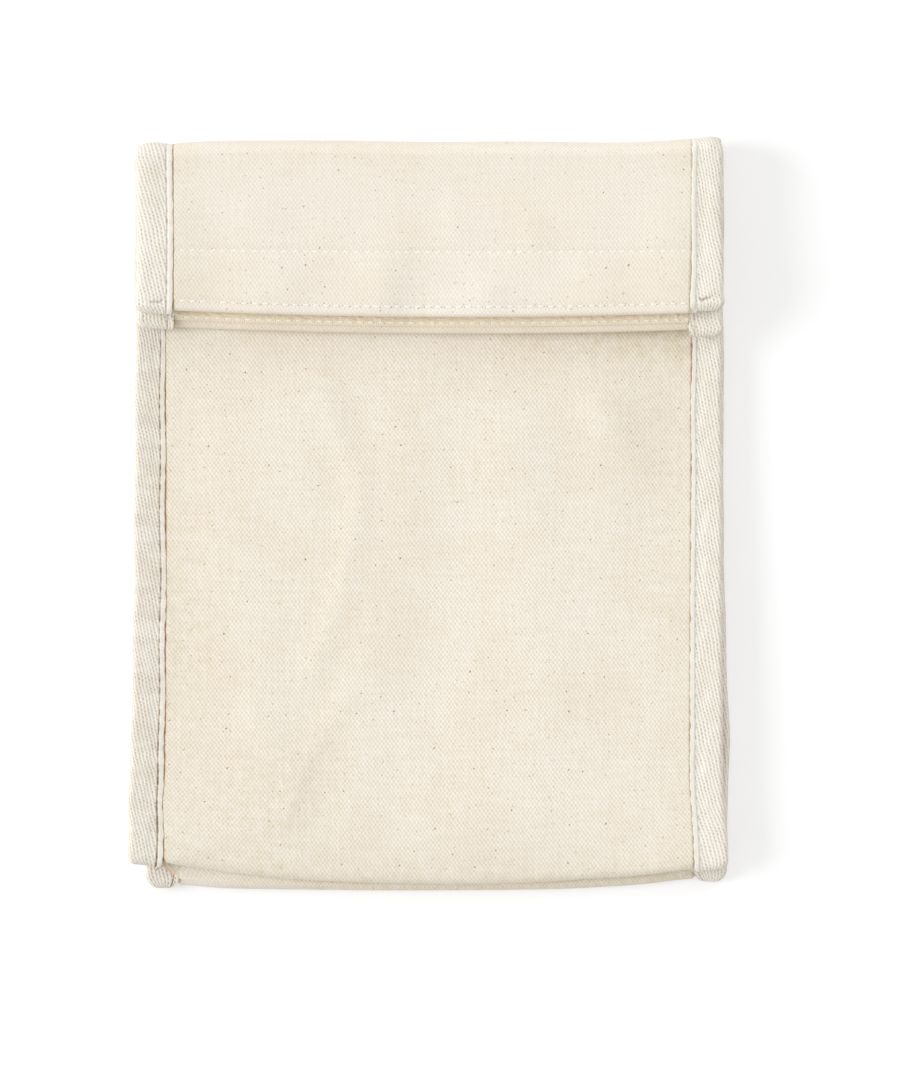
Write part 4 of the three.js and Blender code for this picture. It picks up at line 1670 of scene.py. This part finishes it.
    def seam(self, share: Grid, path: Path) -> Grid:
        """Gives how much painted shade each place gets: painted shadow in the furrow, darker on the left, in
        the dent at the end and at the edge, and a painted shade over the left tapes of the body.
        """
        left = self.side is Side.LEFT
        seam = self.furrow(share, path) * (0.8 if left else 0.22) * (1 + path.below)
        dent = self.crumple(share, self.line.along[-1] - path.along) * self.swell(path)
        rim = (0.05 if left else 0.35) * self.rim(share)
        return np.clip(seam + 0.25 * path.below * left + 0.8 * dent + rim, 0, 1.6)

    def build(self) -> None:
        """Builds the tape in three parts, with its stitches."""
        share, offset = self.section()
        place, level = (np.concatenate([half, half[-2::-1]]) for half in (share, offset))
        under = np.arange(len(place)) >= len(share)
        word, tape = self.wall.face.word, f"{self.side.word}_tape"
        nodes = {
            Part.BODY: [f"{word}_{tape}", f"{word}_{tape}_top"][: 1 + self.wall.front],
            Part.CREASE: [f"{word}_{tape}_crease"],
            Part.FLAP: [f"flap_{word}_{tape}"],
        }
        girth = lengths(np.column_stack([place * self.width, np.where(under, -level - 4.7, level)]))
        turned = (self.side.value * self.wall.face.value * girth)[:, None]
        for part, path in self.line.parts().items():
            outer, inner = (self.at(path, place, level, under, skin) for skin in (0.0, self.skin))
            cloth = join(turned, path.along + 300.0 * self.seed, self.seam(place[:, None], path))
            piece = Shell(outer, inner, cloth).build(
                f"{self.name}_{part.word}_tape", Finish.TWILL, nodes[part], "folded"
            )
            self.wall.hold(piece, part, 0.0)
            self.stitch(part, path)

    def stitch(self, part: Part, path: Path) -> None:
        """Sews the part in its groove, on both of its faces."""
        sides = self.at(path, np.full(2, self.groove), np.full(2, -0.35), np.array([False, True]), 0.0)
        inside = (path.along > self.line.along[0] + 3.0) & (path.along < self.line.along[-1] - 2.0)
        rows = [row[inside] for row in sides]
        piece = Thread(hole=0.12).sew(f"{self.name}_{part.word}_stitches", rows, self.seed)
        self.wall.hold(piece, part, 0.0)


@dataclass(frozen=True)
class Closure:
    """The fastening inside the mouth: loop tape on the front wall, hook tape on the back wall."""

    front: Wall
    back: Wall
    width: float = 20.0
    half: float = 86.3
    loop_half: float = 88.2
    loop_start: float = 65.9
    hook_start: float = 70.3
    base: float = 3.0
    loop_edge: float = 0.7
    pile_height: float = 0.9
    fuzz_height: float = 0.22
    row_height: float = 0.66
    stitch_inset: float = 1.2
    selvage: float = 1.25
    hook_skin: float = 3.55
    hook_tip: float = 4.45
    hook_pitch: float = 1.5
    hook_margins: tuple[float, float, float] = (2.0, 2.4, 2.2)
    stem_radius: float = 0.16
    bend_radius: float = 0.13

    def strip(self, name: str, finish: Finish, shell: Shell) -> bpy.types.Object:
        """Builds one of the two tapes."""
        return shell.build(name, finish, [f"{finish.name.lower()}_tape"], "stretched")

    def build_loop(self) -> None:
        """Builds the loop tape, low at its edges and fuzzy between them, and sews it."""
        start, end = self.loop_start, self.loop_start + self.width
        path = Path.level(np.linspace(start, end, 61), math.pi)
        x = np.linspace(-self.loop_half, self.loop_half, 465)[:, None]
        from_edge = np.minimum(path.along, self.width - path.along)
        pile = ramp(from_edge, self.selvage, self.selvage + 0.5)
        fuzz = Ripple(21, 1.7, 1.7, 30)(x, path.place) * 0.5 + Ripple(22, 5.0, 5.0)(x, path.place) * 0.3
        top = self.base + self.loop_edge + (self.pile_height + self.fuzz_height * fuzz) * pile
        faces = [self.front.ply(x, path, depth) for depth in (top, np.full_like(top, self.base))]
        shell = Shell(*faces, join(x, path.along))
        Joint.ON_FLAP_FRONT.hold(self.strip("closure_loop_pile", Finish.LOOP, shell))
        paths = [Path.level([place], math.pi) for place in (start + self.stitch_inset, end - self.stitch_inset)]
        rows = [self.front.ply(x, row, self.base + self.row_height)[:, 0] for row in paths]
        thread = Thread(width=0.66, length=1.7, slant=0.5)
        Joint.ON_FLAP_FRONT.hold(thread.sew("closure_loop_stitches", rows, 5))

    def build_hooks(self) -> None:
        """Builds the hook tape: a thin strip that bears rows of bent hooks, each leaning the other way."""
        start, end = self.hook_start, self.hook_start + self.width
        path = Path.level(np.linspace(start, end, 17), math.pi)
        x = np.linspace(-self.half, self.half, 81)[:, None]
        faces = [self.back.ply(x, path, np.full((len(x), 1), depth)) for depth in (self.hook_skin, self.base)]
        shell = Shell(*faces, join(x, path.along))
        Joint.ON_FLAP_BACK.hold(self.strip("closure_hook_strip", Finish.HOOK, shell))
        side, low, high = self.hook_margins
        across = np.arange(-self.half + side, self.half - side, self.hook_pitch)
        along = np.arange(start + low, end - high, self.hook_pitch)
        spots = [(a, Path.level([b], math.pi)) for a in across for b in along]
        foot, tip, hook = (
            np.array(
                [
                    self.back.ply(np.array([[a + shift * (-1) ** count]]), row, depth)[0, 0]
                    for count, (a, row) in enumerate(spots)
                ]
            )
            for depth, shift in (
                (self.hook_skin - 0.1, -0.25), (self.hook_tip, 0.1), (self.hook_tip - 0.35, 0.5)
            )
        )
        stems, bends = beads(foot, tip, self.stem_radius), beads(tip, hook, self.bend_radius)
        Joint.ON_FLAP_BACK.hold(make_beads("closure_hooks", (stems, bends), Finish.HOOK))

    def build_flap_rows(self, places: Sequence[float], dent: float) -> None:
        """Sews the rows that hold the hook tape and show on the flap."""
        x = np.linspace(-self.half, self.half, 175)[:, None]
        rows = [self.back.ply(x, Path.level([place], math.pi), dent + 0.01)[:, 0] for place in places]
        thread = Thread(width=0.54, length=1.8, hole=0.21, slant=0.3)
        Joint.ON_FLAP_BACK.hold(thread.sew("flap_stitches", rows, 8))

    def build(self, panel: Panel) -> None:
        """Builds both tapes and the rows of stitches."""
        self.build_loop()
        self.build_hooks()
        self.build_flap_rows(panel.stitch_rows, panel.groove)


@dataclass(frozen=True)
class Lamp:
    """A wide white light from far away: where it stands, how strong it is and how wide, in degrees."""

    name: str
    place: tuple[float, float, float]
    strength: float
    width: float

    def build(self) -> None:
        """Builds the light."""
        sun = bpy.data.lights.new(self.name, "SUN")
        sun.energy = self.strength
        sun.angle = math.radians(self.width)
        add(self.name, sun).rotation_euler = Vector(self.place).to_track_quat("Z", "Y").to_euler()


@dataclass(frozen=True)
class Studio:
    """The pale floor, the soft light from the upper left and the camera straight above."""

    aim: tuple[float, float] = (9.63, -9.4)
    distance: float = 4.0
    lens: float = 393.3
    sensor: float = 36.0
    floor: Colour = tone(240, 240, 240)
    floor_patch: Colour = tone(242, 242, 242)
    floor_half: float = 3.0
    floor_drop: float = 0.0004
    shadow: Colour = (0.63, 0.63, 0.63, 1.0)
    glow: float = 0.425
    sky: float = 0.635
    lamps: tuple[Lamp, ...] = (
        Lamp("window", (-0.8, 0.05, 0.47), 1.8, 32.0),
        Lamp("fill", (0.45, 0.8, 0.5), 0.62, 50.0),
    )

    def build_floor(self) -> None:
        """Builds the floor, which shows white to the camera and keeps the bag's shadow."""
        shader = Shader(bpy.data.materials.new("floor_white"))
        place = shader.node("ShaderNodeTexCoord", output="Object")
        colour = shader.mix(shader.noise(place, 3.0), self.floor, self.floor_patch)
        plain = shader.principled(Base_Color=colour, Roughness=1.0)
        pale = shader.principled(
            Base_Color=self.shadow, Roughness=1.0, Emission_Color=WHITE, Emission_Strength=self.glow
        )
        seen = shader.seen("Camera", "Glossy", "Transmission")
        surface = shader.node("ShaderNodeMixShader", {0: seen, 1: plain, 2: pale})
        shader.node("ShaderNodeOutputMaterial", {"Surface": surface})
        mesh = bpy.data.meshes.new("floor")
        half = self.floor_half
        corners = [(-half, -half, 0), (half, -half, 0), (half, half, 0), (-half, half, 0)]
        mesh.from_pydata(corners, [], [(0, 1, 2, 3)])
        mesh.materials.append(shader.owner)
        floor = add("floor", mesh)
        floor.location.z = -self.floor_drop
        floor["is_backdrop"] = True

    def build_surroundings(self) -> None:
        """Builds the white surroundings, which light the bag from all round."""
        world = bpy.data.worlds.new("surroundings")
        shader = Shader(world)
        strength = shader.seen("Camera", "Glossy") * (1 - self.sky) + self.sky
        light = shader.node("ShaderNodeBackground", {"Color": WHITE, "Strength": strength})
        shader.node("ShaderNodeOutputWorld", {"Surface": light})
        bpy.context.scene.world = world

    def build_camera(self) -> None:
        """Builds the camera, which looks straight down."""
        lens = bpy.data.cameras.new("camera")
        lens.lens = self.lens
        lens.sensor_width = self.sensor
        camera = add("camera", lens)
        camera.location = (self.aim[0] * MM, self.aim[1] * MM, self.distance)
        bpy.context.scene.camera = camera

    def build(self) -> None:
        """Builds the whole studio."""
        bpy.context.scene.view_settings.view_transform = "Standard"
        self.build_camera()
        self.build_surroundings()
        self.build_floor()
        for lamp in self.lamps:
            lamp.build()


@dataclass
class Bag:
    """The whole bag. tape_ends are the places of each tape's ends, at the bottom and at the mouth."""

    frame: BagFrame
    walls: dict[Face, Wall] = field(init=False)
    tape_ends: tuple[tuple[Face, Side, float, float], ...] = (
        (Face.FRONT, Side.LEFT, -125.9, 62.6),
        (Face.FRONT, Side.RIGHT, -125.3, 61.0),
        (Face.BACK, Side.LEFT, -127.9, 67.6),
        (Face.BACK, Side.RIGHT, -128.1, 69.5),
    )

    def __post_init__(self) -> None:
        """Places the two walls."""
        lie = Lie(self.frame)
        self.walls = {face: Wall(self.frame, lie, face) for face in Face}

    def build(self) -> None:
        """Builds the bag from its walls to its stitches."""
        front, back = self.walls.values()
        panels = [Panel(front), Panel(back)]
        for panel in panels:
            panel.build()
        Bellows((front, back)).build()
        for seed, (face, side, bottom, hem) in enumerate(self.tape_ends, 11):
            Binding(self.walls[face], side, bottom, hem, seed).build()
        Closure(front, back).build(panels[1])


def main() -> None:
    """Builds the scene."""
    logging.basicConfig(level=logging.INFO, format="%(message)s", stream=sys.stdout)
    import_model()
    Studio().build()
    Bag(BagFrame.read()).build()
    LOG.info("all pieces made")


if __name__ == "__main__":
    main()
